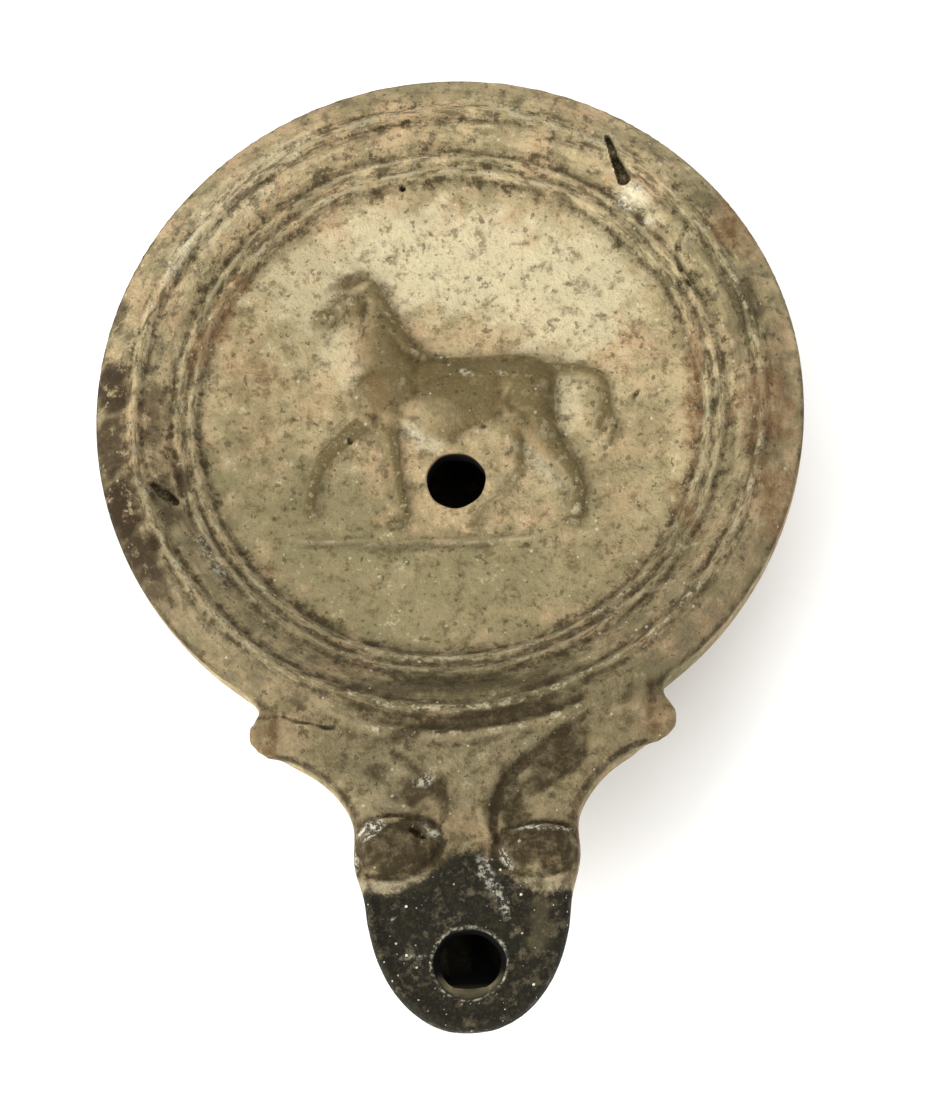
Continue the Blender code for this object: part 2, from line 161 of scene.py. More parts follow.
@dataclass(frozen=True)
class Spot:
    """A soft-edged oval patch on the plan.

    Attributes:
        x: Middle across.
        y: Middle along.
        length: Half its longer size.
        width: Half its shorter size.
        turn: Degrees that its length is turned from +X.
        strength: Its value in the middle.
    """

    x: float
    y: float
    length: float
    width: float
    turn: float = 0.0
    strength: float = 1.0

    def distance(self, x: Array, y: Array) -> Array:
        """How far out each place lies, 1 at the patch's edge."""
        turn = math.radians(self.turn)
        along = (x - self.x) * math.cos(turn) + (y - self.y) * math.sin(turn)
        across = (y - self.y) * math.cos(turn) - (x - self.x) * math.sin(turn)
        return np.hypot(along / self.length, across / self.width)

    def near(self, x: Array, y: Array) -> Array:
        """True at the places that the patch may reach."""
        reach = 1.8 * max(self.length, self.width)
        return (np.abs(x - self.x) < reach) & (np.abs(y - self.y) < reach)

    def cover(self, x: Array, y: Array, ragged: float = 0.0) -> Array:
        """The patch's value at each place, with an edge that may be ragged."""
        near = self.near(x, y)
        right, up = x[near], y[near]
        edge = self.distance(right, up) + ragged * uneven(right, up, 1.7, self.x)
        edge = edge + 0.5 * ragged * uneven(right, up, 0.8, self.y)
        cover = np.zeros_like(x)
        cover[near] = self.strength * smooth_step(edge, 1.15, 0.6)
        return cover

    def dome(self, x: Array, y: Array, fullness: float = 0.7) -> Array:
        """A rounded boss over the patch, or a hollow where its strength is negative."""
        near = self.near(x, y)
        height = np.zeros_like(x)
        height[near] = self.strength * np.clip(1 - self.distance(x[near], y[near]) ** 2, 0, 1) ** fullness
        return height


@dataclass(frozen=True)
class Stroke:
    """A rounded ridge through tapering stations, or a groove where its rise is negative.

    Attributes:
        stations: Points of (x, y, half width).
        rise: Height of the ridge where it is widest.
        fullness: How square its section is. Under 0.5 is fuller than an ellipse.
        taper: How far the height follows the width, from 0 to 1.
    """

    stations: tuple[Station, ...]
    rise: float
    fullness: float = 0.65
    taper: float = 0.5

    def height(self, x: Array, y: Array) -> Array:
        """The stroke's height at each place, 0 away from it."""
        across, along, halves = zip(*self.stations)
        widest = max(halves)
        near = (x > min(across) - widest) & (x < max(across) + widest)
        near &= (y > min(along) - widest) & (y < max(along) + widest)
        height = np.zeros_like(x)
        height[near] = self.rise * self.section(x[near], y[near], widest)
        return height

    def section(self, x: Array, y: Array, widest: float) -> Array:
        """The stroke's rounded section, from 0 to 1, at places near it."""
        best = np.zeros_like(x)
        for (x0, y0, half0), (x1, y1, half1) in zip(self.stations, self.stations[1:]):
            length = max((x1 - x0) ** 2 + (y1 - y0) ** 2, 1e-9)
            share = np.clip(((x - x0) * (x1 - x0) + (y - y0) * (y1 - y0)) / length, 0, 1)
            half = half0 + (half1 - half0) * share
            away = np.hypot(x - x0 - (x1 - x0) * share, y - y0 - (y1 - y0) * share) / half
            dome = np.clip(1 - away**2, 0, 1) ** self.fullness
            best = np.maximum(best, dome * (half / widest) ** self.taper)
        return best


def grown(stations: tuple[Station, ...], share: float) -> tuple[Station, ...]:
    """A stroke's stations with all their widths multiplied."""
    return tuple((x, y, half * share) for x, y, half in stations)


@dataclass
class Mouldings:
    """The ringed shoulder and the sunken discus, turned about the lamp's axis."""

    body_radius: float = BODY_RADIUS
    base_radius: float = 20.0
    foot_height: float = 1.2
    groove_out: float = 17.4
    groove_in: float = 16.2
    groove_depth: float = 0.6
    discus_radius: float = 29.3
    discus_edge: float = 23.3
    discus_dish: float = 1.7
    foot_edge: float = 0.3
    section: tuple[Pair, ...] = (
        (29.0, 23.25), (29.35, 23.6), (29.65, 24.2), (29.9, 24.42), (30.2, 24.28), (30.6, 24.05),
        (31.0, 24.3), (31.35, 24.78), (31.7, 24.6), (32.1, 24.35), (32.8, 24.85), (33.7, 25.5),
        (34.6, 25.95), (35.1, 25.95), (35.6, 25.95), (35.95, 26.4), (36.35, 26.95), (36.75, 26.7),
        (37.2, 26.35), (37.6, 26.4), (38.2, 26.3), (39.2, 25.85), (40.0, 25.35), (40.6, 24.85),
        (BODY_RADIUS, 24.2),
    )

    @property
    def edge_height(self) -> float:
        """Height of the body's widest edge."""
        return self.section[-1][1]

    def dish(self, radius: Array) -> Array:
        """Height of the plain dished discus at a distance from the axis."""
        share = np.clip(radius / self.discus_radius, 0, 1)
        return self.discus_edge - self.discus_dish * np.cos(math.pi / 2 * share)

    def height(self, x: Array, y: Array) -> Array:
        """Height of the rings and the plain discus at each place, with the worn rings' ups and downs."""
        radius = np.hypot(x, y)
        radius = radius + 0.16 * uneven(x, y, 7.0, 3.0) * smooth_step(radius, 27.5, 29.5)
        radii, heights = zip(*self.section)
        rings = sum(np.interp(radius + step, radii, heights) for step in (-0.2, 0, 0.2)) / 3
        return np.where(radius < self.section[0][0], self.dish(radius), rings)

    def underside(self) -> list[Pair]:
        """The outside below the widest edge, from the middle of the base up, as (radius, height)."""
        middle = (self.groove_in + self.groove_out) / 2
        points = [(0.0, 0.0), (self.groove_in, 0.0), (middle, self.groove_depth), (self.groove_out, 0.0)]
        points += [(self.base_radius - self.foot_edge, 0.0), (self.base_radius, self.foot_edge)]
        points.append((self.base_radius, self.foot_height))
        for step in range(1, 25):
            turn = math.pi / 2 * step / 24
            points.append((
                self.base_radius + (self.body_radius - self.base_radius) * math.sin(turn),
                self.foot_height + (self.edge_height - self.foot_height) * (1 - math.cos(turn)),
            ))
        return points

    def plain_section(self) -> list[Pair]:
        """The whole outside without the rings, from the middle of the base to the middle of the discus."""
        points = self.underside()
        points += [point for point in reversed(self.section) if 36 < point[0] < self.body_radius]
        return points + [(29.0, 23.6), (24.0, 22.6), (16.0, 22.0), (8.0, 21.7), (0.0, 21.6)]


@dataclass
class Nozzle:
    """The nozzle: a rounded wick pad, scrolls at its waist, a rimmed field and a neck that flares out."""

    shift: float = 0.6
    top: float = 25.2
    tip_y: float = -75.3
    pad_y: float = -58.3
    pad_half_width: float = 11.9
    pad_length: float = 16.5
    pad_depth: float = 13.0
    pad_drop: float = 0.95
    tip_depth: float = 1.5
    tip_lean: float = 1.4
    waist_length: float = 8.0
    disc_bulge: float = 0.9
    disc_y: float = -53.6
    waist_half_width: float = 12.7
    flare_length: float = 9.7
    flare_width: float = 9.6
    flare_power: float = 1.6
    root_y: float = -30.75
    root_depth: float = 15.0
    root_sink: float = 4.5
    root_narrowing: float = 0.8
    edge_round: float = 1.5
    pad_keel: float = 0.65
    root_keel: float = 1.1
    field_waist: float = 1.9
    field_waist_y: float = -48.0
    field_radius: float = 39.5
    field_angle: float = 22.0
    field_power: float = 1.88
    rim_half_width: float = 0.9
    rim_rise: float = 0.42
    hollow_depth: float = 0.8
    wick_hole_y: float = -66.6
    wick_hole_radius: float = 4.2
    knob_angle: float = 29.9
    knob_out: float = 3.3
    knob_radius: float = 3.1
    knob_depth: float = 8.5
    knob_top: float = 24.8
    wall: float = 3.0
    bosses: tuple[Spot, ...] = (Spot(-7.9, -52.4, 5.5, 3.4, 6, 1.6), Spot(9.1, -53.3, 5.0, 2.9, -3, 1.45))
    boss_curls: tuple[tuple[Pair, ...], ...] = (
        ((-12.2, -51.4), (-10.2, -49.6), (-7.4, -49.2), (-4.6, -50.2), (-3.3, -52.2)),
        ((13.0, -51.7), (10.6, -51.2), (8.0, -51.4), (6.1, -52.3), (5.0, -53.8)),
    )
    curls: tuple[Stroke, ...] = (
        Stroke(
            (
                (14.6, -38.0, 0.3), (11.9, -39.4, 0.6), (8.9, -41.6, 0.75), (6.4, -43.8, 0.8),
                (4.8, -45.9, 0.8), (3.9, -48.5, 0.75), (3.8, -50.8, 0.6), (4.4, -52.8, 0.4),
            ),
            -0.6, 1.0, 0.6,
        ),
        Stroke(
            (
                (-7.4, -41.2, 0.5), (-4.9, -43.1, 0.8), (-3.2, -44.9, 0.9),
                (-2.0, -46.7, 0.8), (-1.7, -48.4, 0.6), (-2.3, -50.2, 0.3),
            ),
            -0.28, 1.0, 0.6,
        ),
    )
    side_hollow: tuple[Pair, ...] = (
        (1.0, 0.22), (0.85, 0.3), (0.68, 0.34), (0.5, 0.36), (0.32, 0.34), (0.16, 0.28),
    )
    left_share: Pair = (0.6, 0.75)
    pad_swell: Spot = Spot(0.6, -66, 10, 13, 0, 0.25)
    knob_rings: tuple[Pair, ...] = (
        (0.3, -1.0), (0.78, -0.55), (1.0, -0.16), (0.98, -0.05), (0.8, 0.03), (0.35, 0.05),
    )

    @property
    def flare_y(self) -> float:
        """Where the neck starts to flare."""
        return self.pad_y + self.waist_length

    def half_width(self, y: float) -> float:
        """Half the nozzle's width: a rounded pad, a short waist, then a hollow curve out to the body."""
        along = y - self.pad_y
        if along <= 0:
            return self.pad_half_width * math.sqrt(max(0.0, 1 - (along / self.pad_length) ** 2))
        bulge = self.disc_bulge * math.exp(-(((y - self.disc_y) / 2.2) ** 2))
        if along <= self.waist_length:
            share = along / self.waist_length
            return bulge + self.pad_half_width + (self.waist_half_width - self.pad_half_width) * share
        up = min(1.0, (along - self.waist_length) / self.flare_length)
        spread = 1 - (1 - up**self.flare_power) ** (1 / self.flare_power)
        return bulge + self.waist_half_width + self.flare_width * spread

    def depth(self, y: float) -> float:
        """How far the underside lies below the top."""
        along = y - self.pad_y
        if along <= 0:
            share = max(0.0, 1 - (along / self.pad_length) ** 2) ** (self.tip_lean / 2)
            return self.tip_depth + (self.pad_depth - self.tip_depth) * share
        return self.pad_depth + (self.root_depth - self.pad_depth) * along / (self.root_y - self.pad_y)

    def section_point(self, turn: float, y: float, half_width: float, top: float, depth: float) -> Pair:
        """A point of the cross-section, with a flat top, rounded corners and a rounded keel.

        Args:
            turn: Angle round the section, in radians.
            y: Where the section is.
            half_width: Half the section's width.
            top: Height of its flat top.
            depth: Its whole depth.

        Returns:
            The point's distance across from the nozzle's middle, and its height.
        """
        edge = min(self.edge_round, depth / 2)
        across, up = math.cos(turn), math.sin(turn)
        if up >= 0:
            return half_width * math.copysign(abs(across) ** 0.25, across), top - edge + edge * up**0.25
        spread = max(0.0, self.half_width(y) - self.waist_half_width) / self.flare_width
        keel = self.pad_keel + (self.root_keel - self.pad_keel) * spread
        return half_width * math.copysign(abs(across) ** keel, across), top - edge - (depth - edge) * abs(up)

    def inside(self, x: Array, y: Array) -> Array:
        """How far each place lies inside the nozzle's outline, negative outside it."""
        lengths = np.linspace(self.tip_y, -34.0, 240)
        half = np.interp(y, lengths, [self.half_width(length) for length in lengths], left=0.0)
        beside = half - np.abs(x - self.shift)
        round_end = 1 - np.hypot((x - self.shift) / self.pad_half_width, (y - self.pad_y) / self.pad_length)
        pad = np.where(y < self.pad_y, round_end * self.pad_half_width, beside)
        return np.where(y > -32.0, -9.0, pad)

    def field_half_width(self, y: Array) -> Array:
        """Half the width of the rimmed middle field."""
        spread = self.field_radius * math.sin(math.radians(self.field_angle)) - self.shift - self.field_waist
        shoulder_y = -self.field_radius * math.cos(math.radians(self.field_angle))
        share = np.clip((y - self.field_waist_y) / (shoulder_y - self.field_waist_y), 0, 1)
        return self.field_waist + spread * share**self.field_power

    def rim_stations(self, side: Side) -> tuple[Station, ...]:
        """The rim beside the field, from the shoulder in to the waist and out under the scroll."""
        shoulder_y = -self.field_radius * math.cos(math.radians(self.field_angle))
        stations = []
        for share in (0.93, 0.82, 0.7, 0.58, 0.46, 0.35, 0.25, 0.16, 0.08):
            y = self.field_waist_y + share * (shoulder_y - self.field_waist_y)
            x = float(self.field_half_width(np.array(y)))
            stations.append((self.shift + side.value * x, y, self.rim_half_width * (1.15 - 0.5 * share)))
        for turn in range(5, 50, 9):
            x, y = self.scroll_foot(math.radians(turn))
            stations.append((self.shift + side.value * x, y, self.rim_half_width * (0.85 - turn / 90)))
        return tuple(stations)

    def scroll_foot(self, turn: float) -> Pair:
        """A point on the curve under a scroll, from the field's waist out to the pad's edge."""
        reach = 0.97 * self.pad_half_width - self.field_waist
        drop = self.field_waist_y - self.pad_y - 0.2 * self.waist_length
        return self.field_waist + reach * (1 - math.cos(turn)), self.field_waist_y - drop * math.sin(turn)

    def pad_edge(self, x: Array) -> Array:
        """Where along the nozzle the wick pad begins, which is a point in the middle."""
        turns = np.linspace(0, math.pi / 2, 40)
        across, along = zip(*(self.scroll_foot(turn) for turn in turns))
        return np.minimum(-53.0, np.interp(np.abs(x - self.shift), across, along)) - 0.6

    def on_pad(self, x: Array, y: Array) -> Array:
        """1 on the wick pad and 0 above it, with a slope between."""
        edge = self.pad_edge(x)
        return smooth_step(y - edge, 1.7, -0.9)

    def relief(self, x: Array, y: Array) -> Array:
        """What rises and sinks from the nozzle's flat top."""
        height = -self.pad_drop * self.on_pad(x, y)
        for side in Side:
            hollow_share, rim_share = self.left_share if side is Side.LEFT else (1.0, 1.0)
            hollow = []
            for share, fullness in self.side_hollow:
                along = self.flare_y + share * self.flare_length
                inner, outer = float(self.field_half_width(np.array(along))), self.half_width(along)
                middle = 0.66 * inner + 0.34 * outer
                hollow.append((self.shift + side.value * middle, along, fullness * (outer - inner)))
            height = height + Stroke(tuple(hollow), -self.hollow_depth * hollow_share, 1.3, 0.3).height(x, y)
            rim = Stroke(self.rim_stations(side), self.rim_rise, 1.0, 0.6)
            height = height + rim.height(x, y) * rim_share
        height = height + self.scroll_ends(x, y) + sum(curl.height(x, y) for curl in self.curls)
        lip = np.abs(np.hypot(x - self.shift, y - self.wick_hole_y) - self.wick_hole_radius - 0.35)
        return height + 0.14 * smooth_step(lip, 0.6, 0.1) + self.pad_swell.dome(x, y, 1.0)

    def scroll_ends(self, x: Array, y: Array) -> Array:
        """The oval bosses that end the scrolls at the waist, each with a raised curl round it."""
        height = 0.0
        for boss, curl in zip(self.bosses, self.boss_curls):
            away = boss.distance(x, y)
            height = height + boss.dome(x, y, 0.45)
            upper = smooth_step(y - boss.y, -1.8, 0.4)
            height = height - 0.3 * smooth_step(np.abs(away - 0.64), 0.18, 0.02) * upper
            height = height - 0.4 * smooth_step(np.abs(away - 1.06), 0.16, 0.02)
            height = height + 0.3 * smooth_step(away, 1.0, 0.8) * uneven(x, y, 1.5, 11.0)
            ridge = Stroke(tuple((across, along, 0.4) for across, along in curl), 0.28, 0.9, 0.0)
            height = height + ridge.height(x, y)
        return height

    def loft(self) -> bmesh.types.BMesh:
        """The nozzle's plain outside, from its tip to its root, which is sunk inside the body."""
        turns = (2, 7, 13, 19, 25, 32, 39, 47, 55, 64, 73, 82, 90)
        rows = [(self.pad_y - self.pad_length * math.cos(math.radians(turn)), 1.0, 0.0) for turn in turns]
        for share in np.linspace(-0.4, 0.98, 12):
            rows.append((self.flare_y + self.flare_length * share, 1.0, 0.0))
        meets_body = -math.sqrt(BODY_RADIUS**2 - (self.waist_half_width + self.flare_width) ** 2)
        rows += [(meets_body, 1.0, 0.0), (self.root_y, self.root_narrowing, self.root_sink)]

        def place(turn: float, ring: int) -> tuple[float, float, float]:
            """Where a point of one ring goes."""
            y, share, sink = rows[ring]
            x, z = self.section_point(turn, y, share * self.half_width(y), self.top - sink, self.depth(y))
            return self.shift + x, y, z

        return lofted(48, len(rows) - 1, place)

    def knob(self, side: Side) -> bmesh.types.BMesh:
        """The rounded knob that ends a scroll at the shoulder. Its foot draws in and leans to the body."""
        out = BODY_RADIUS + self.knob_out
        turn = math.radians(self.knob_angle)
        x, y = self.shift + side.value * out * math.sin(turn), -out * math.cos(turn)

        def place(around: float, ring: int) -> tuple[float, float, float]:
            """Where a point of one ring goes."""
            share, rise = self.knob_rings[ring]
            back = 1 + 0.5 * min(0.0, rise * self.knob_depth) / math.hypot(x, y)
            reach = share * self.knob_radius
            z = self.knob_top + rise * self.knob_depth
            return back * x + reach * math.cos(around), back * y + reach * math.sin(around), z

        return lofted(20, len(self.knob_rings) - 1, place)


@dataclass
class Horse:
    """The walking horse in relief on the discus, with the line that it walks on."""

    shift_y: float = 0.5
    relief: float = 1.7
    fullest: float = 4.7
    limbs: tuple[tuple[Station, ...], ...] = (
        ((-8, 3, 2.8), (-5, 2.9, 4), (-1, 2.2, 4.4), (3, 3, 3.7), (6.5, 3.9, 3), (9, 3.5, 3)),
        ((-6.5, 4.6, 3.4), (-7.3, 7.6, 2.5), (-7.7, 10.4, 1.9), (-8.1, 13.2, 1.4), (-9, 15.8, 1.1)),
        ((-9.6, 15.6, 1.4), (-10.7, 14.2, 1.6)),
        ((-11.2, 14.2, 1.0), (-13, 13.0, 1.1), (-14.2, 12.2, 1.35)),
        ((-9.4, 16.4, 0.6), (-9.1, 17.6, 0.4)),
        ((-7.4, 1.2, 1.7), (-7, -2.4, 1.05), (-6.7, -5, 0.85), (-6.2, -8.5, 0.75), (-5.6, -12, 0.75)),
        ((-9.9, -0.4, 1.2), (-12.3, -2.3, 1.05), (-14.7, -4.6, 0.95), (-16, -7.4, 0.8), (-16.7, -11, 0.75)),
        (
            (8.6, 2.4, 3.4), (9.4, -0.8, 2.5), (11.4, -4.4, 1.6),
            (13.6, -7.6, 1.2), (14.6, -10, 1), (14.2, -12.4, 1),
        ),
        (
            (7.4, -1.6, 1), (7.6, -4.8, 0.8), (7.9, -7, 0.7),
            (6.2, -9.8, 0.6), (3.4, -11.6, 0.6), (2.5, -13, 0.6),
        ),
        (
            (10.8, 5, 1), (14.5, 4.9, 0.8), (16.8, 4.2, 0.75),
            (17.9, 2.6, 0.75), (17.9, 0.4, 0.8), (17, -2.6, 0.5),
        ),
        ((18.0, 0.6, 0.7), (18.9, -2.4, 0.6), (18.4, -4.6, 0.4)),
    )
    hooves: tuple[Station, ...] = (
        (-6.8, -13.2, 1.2), (-16.6, -11.6, 1.0), (13.7, -13.8, 1.3), (2.2, -13.8, 0.9),
    )
    bosses: tuple[Spot, ...] = (
        Spot(-10.6, 14.2, 1.5, 1.4, 0, 0.35),
        Spot(-14.0, 12.2, 1.6, 1.3, 20, 0.35),
        Spot(-8.4, 2.4, 2.6, 3.2, 20, 0.35),
        Spot(-6.2, 5.0, 2.2, 3.6, 15, 0.25),
        Spot(9.0, 2.6, 3.0, 3.8, 25, 0.35),
        Spot(10.9, -1.6, 1.6, 2.6, 25, 0.2),
        Spot(-1.0, 1.6, 4.8, 2.6, 5, 0.2),
        Spot(-12.2, -2.4, 1.4, 1.0, 40, 0.15),
        Spot(12.9, -4.6, 1.3, 1.2, 0, 0.2),
    )
    grooves: tuple[tuple[Station, ...], ...] = (
        ((-4.0, 5.4, 0.5), (-4.4, 2.4, 0.5), (-5.6, 0.4, 0.4)),
        ((5.4, 4.0, 0.5), (6.0, 2.0, 0.5), (7.0, 0.4, 0.4)),
        ((-9.9, 10.4, 0.35), (-9.0, 11.9, 0.4), (-9.2, 13.6, 0.35)),
        ((-12.5, 14.6, 0.25), (-12.4, 12.6, 0.3)),
        ((8.6, -0.6, 0.35), (9.6, -2.4, 0.35)),
        ((12.2, 4.6, 0.3), (12.0, 2.4, 0.3)),
    )
    mane: tuple[Station, ...] = (
        (-8.7, 16.0, 0.7), (-7.5, 13.3, 0.9), (-6.4, 10.9, 1.1), (-5.0, 8.7, 1.1), (-2.8, 7.0, 0.8),
    )
    eye: Spot = Spot(-12.3, 14.9, 0.5, 0.4, 20, 0.25)
    nostril: Spot = Spot(-15.2, 12.3, 0.35, 0.25, 30, -0.25)
    flank: Stroke = Stroke(((2.0, 4.6, 0.4), (5.2, 4.2, 0.35)), 0.22, 0.8)
    ground_line: Stroke = Stroke(
        ((-19.0, -14.6, 0.3), (-15.5, -15.0, 0.45), (-4, -15.6, 0.5), (4, -15.7, 0.5), (9.6, -15.5, 0.45)),
        0.36, 0.8, 0.4,
    )
    ground_stub: Stroke = Stroke(((9.4, -15.6, 0.5), (9.9, -16.6, 0.3)), 0.3, 0.8)
    ground_step: Spot = Spot(-7.2, -14.4, 2.1, 1.3, 0, 0.45)

    def cover(self, x: Array, y: Array) -> Array:
        """1 on the horse and 0 off it, with a soft edge."""
        return smooth_step(self.figure(x, y - self.shift_y), 0.05, 0.7)

    def figure(self, x: Array, y: Array) -> Array:
        """Height of the horse alone above the discus."""
        height = np.zeros_like(x)
        for stations in self.limbs:
            widest = max(half for _, _, half in stations)
            rise = self.relief * (widest / self.fullest) ** 0.75
            height = grown_together(height, Stroke(grown(stations, 1.22), rise, 1.05, 0.4).height(x, y))
        for across, along, half in self.hooves:
            hoof = Spot(across, along, 1.25 * half, 0.85 * half, 0, 0.5)
            height = grown_together(height, hoof.dome(x, y, 1.1))
        height = grown_together(height, Stroke(self.mane, 0.8, 0.9, 0.4).height(x, y))
        body = smooth_step(height, 0.3, 0.9)
        for boss in self.bosses:
            height = height + body * boss.dome(x, y, 1.2)
        for stations in self.grooves:
            height = height + body * Stroke(grown(stations, 2.0), -0.14, 1.5, 0.2).height(x, y)
        comb = np.sin((x * 0.75 + y * 0.66) * 4.2) * Stroke(self.mane, 1.0, 0.6, 0.2).height(x, y)
        height = height + 0.1 * comb + self.eye.dome(x, y, 0.8)
        return height + self.nostril.dome(x, y, 1.0) + self.flank.height(x, y)

    def height(self, x: Array, y: Array) -> Array:
        """Height of the horse and its ground line above the discus."""
        up = y - self.shift_y
        beside = np.maximum(self.ground_stub.height(x, up), self.ground_step.dome(x, up, 0.8))
        ground = np.maximum(self.ground_line.height(x, up), beside)
        return grown_together(self.figure(x, up), ground)


@dataclass
class Wear:
    """Chips, gouges, scratches and the slight unevenness of pressed and used clay."""

    gouges: tuple[Stroke, ...] = (
        Stroke(((19.3, 32.2, 0.3), (20.2, 29.8, 0.55), (21.1, 27.3, 0.8)), -1.9, 0.25, 0.3),
        Stroke(((-34.4, -7.6, 0.3), (-33.2, -8.6, 0.75), (-32.0, -9.5, 0.6)), -1.2, 0.5, 0.5),
        Stroke(((-5.6, -50.9, 0.3), (-4.8, -51.4, 0.42), (-4.0, -51.8, 0.2)), -0.8, 0.6, 0.5),
        Stroke(
            (
                (-23.8, -35.7, 0.3), (-22.2, -36.2, 0.35), (-20.4, -36.1, 0.2), (-18.5, -36.9, 0.3),
                (-16.9, -37.2, 0.15), (-15.0, -37.8, 0.3), (-12.7, -37.8, 0.2),
            ),
            -0.45, 0.8, 0.8,
        ),
        Stroke(
            ((28.2, 20.9, 0.3), (27.2, 19.4, 0.4), (26.9, 17.4, 0.4), (27.6, 15.4, 0.3), (28.9, 13.2, 0.25)),
            -0.5, 0.8, 0.5,
        ),
    )
    holes: tuple[Spot, ...] = (
        Spot(-4.8, 28.3, 0.42, 0.4, 0, -0.9),
        Spot(-11.7, -2.2, 0.4, 0.38, 0, -0.6),
        Spot(10.7, -47.0, 0.55, 0.5, 0, -0.4),
        Spot(3.8, -0.9, 0.35, 0.3, 0, -0.3),
        Spot(21.6, 1.9, 0.9, 0.3, 58, -0.4),
    )
    dents: tuple[Spot, ...] = (
        Spot(-10.4, -50.9, 1.9, 1.4, 20, -0.55),
        Spot(-11.9, -53.2, 1.0, 1.6, 0, -0.4),
        Spot(22.4, 26.0, 2.2, 1.5, 20, 0.3),
        Spot(-38.9, 8.2, 1.6, 2.4, 0, -0.35),
        Spot(-39.2, -1.6, 1.4, 2.2, 0, -0.3),
        Spot(36.8, -5.0, 2.6, 3.4, 10, -0.25),
        Spot(34.4, 19.0, 2.4, 1.8, 0, -0.25),
        Spot(6.6, -9.4, 2.4, 3.4, -20, -0.25),
        Spot(5.2, 15.6, 6.0, 3.0, 60, -0.12),
    )

    def height(self, x: Array, y: Array) -> Array:
        """What wear adds to the top's height, mostly below it."""
        height = 0.07 * uneven(x, y, 7.0, 1.0) + 0.05 * uneven(x, y, 3.1, 2.0)
        height = height + 0.025 * uneven(x, y, 1.3, 5.0)
        worn = np.clip(0.75 + 1.1 * uneven(x, y, 0.9, 13.0), 0.1, 1.3)
        for gouge in self.gouges:
            height = height + gouge.height(x, y) * (1 if gouge.rise < -1 else worn)
        for spot in (*self.holes, *self.dents):
            height = height + spot.dome(x, y, 0.8)
        radius = np.hypot(x, y)
        rings = smooth_step(radius, 29.2, 29.8) * smooth_step(radius, 38.5, 36.8)
        broken = np.clip(uneven(x, y, 2.6, 12.0) - 0.25, 0, 1) * smooth_step(np.abs(radius - 36.3), 1.0, 0.3)
        crumbs = uneven(x, y, 1.1, 7.0) * smooth_step(uneven(x, y, 5.0, 8.0), 0.0, 0.8)
        return height + 0.16 * rings * crumbs - 0.35 * broken

    def close_places(self, x: Array, y: Array) -> Array:
        """True where the marks need a finer mesh."""
        near = np.zeros(len(x), bool)
        for gouge in self.gouges:
            wide = tuple((across, along, half + 0.7) for across, along, half in gouge.stations)
            near |= Stroke(wide, 1.0).height(x, y) > 0.01
        for spot in self.holes:
            near |= np.hypot(x - spot.x, y - spot.y) < spot.length + 0.8
        return near


def lofted(segments: int, rings: int, place: Callable[[float, int], Sequence[float]]) -> bmesh.types.BMesh:
    """A closed tube made of rings.

    Args:
        segments: Points round each ring.
        rings: Number of the last ring, where the first is 0.
        place: Gives the point at an angle round a ring. Rings are listed from the bottom or the tip up.

    Returns:
        The tube.
    """
    bm = bmesh.new()
    bmesh.ops.create_cone(bm, cap_ends=True, segments=segments, radius1=1, radius2=1, depth=1)
    uprights = [edge for edge in bm.edges if abs(edge.verts[0].co.z - edge.verts[1].co.z) > 0.5]
    bmesh.ops.subdivide_edges(bm, edges=uprights, cuts=rings - 1)
    for vert in bm.verts:
        vert.co = place(math.atan2(vert.co.y, vert.co.x), round((vert.co.z + 0.5) * rings))
    return bm


def turned(section: Sequence[Pair], steps: int) -> bmesh.types.BMesh:
    """The solid that a section of (radius, height) makes round Z. Its two ends lie on the axis."""
    bm = bmesh.new()
    verts = [bm.verts.new((radius, 0, height)) for radius, height in section]
    edges = [bm.edges.new(pair) for pair in zip(verts, verts[1:])]
    bmesh.ops.spin(
        bm, geom=verts + edges, cent=(0, 0, 0), axis=(0, 0, 1), angle=math.tau, steps=steps, use_merge=True
    )
    bmesh.ops.remove_doubles(bm, verts=bm.verts, dist=1e-4)
    return bm


def add_piece(name: str, bm: bmesh.types.BMesh, collection: bpy.types.Collection) -> bpy.types.Object:
    """Puts a finished bmesh in a collection as one object, faces out."""
    bmesh.ops.recalc_face_normals(bm, faces=bm.faces)
    mesh = bpy.data.meshes.new(name)
    bm.to_mesh(mesh)
    bm.free()
    piece = bpy.data.objects.new(name, mesh)
    collection.objects.link(piece)
    return piece


def points_of(mesh: bpy.types.Mesh) -> Array:
    """The mesh's vertices, one row each."""
    points = np.empty(len(mesh.vertices) * 3, np.float32)
    mesh.vertices.foreach_get("co", points)
    return points.reshape(-1, 3).astype(float)


def move_points(mesh: bpy.types.Mesh, points: Array) -> None:
    """Puts the mesh's vertices at new places."""
    mesh.vertices.foreach_set("co", points.astype(np.float32).ravel())
    mesh.update()


def finished_mesh(piece: bpy.types.Object) -> bpy.types.Mesh:
    """The piece's mesh with its modifiers applied."""
    graph = bpy.context.evaluated_depsgraph_get()
    return bpy.data.meshes.new_from_object(piece.evaluated_get(graph), depsgraph=graph)


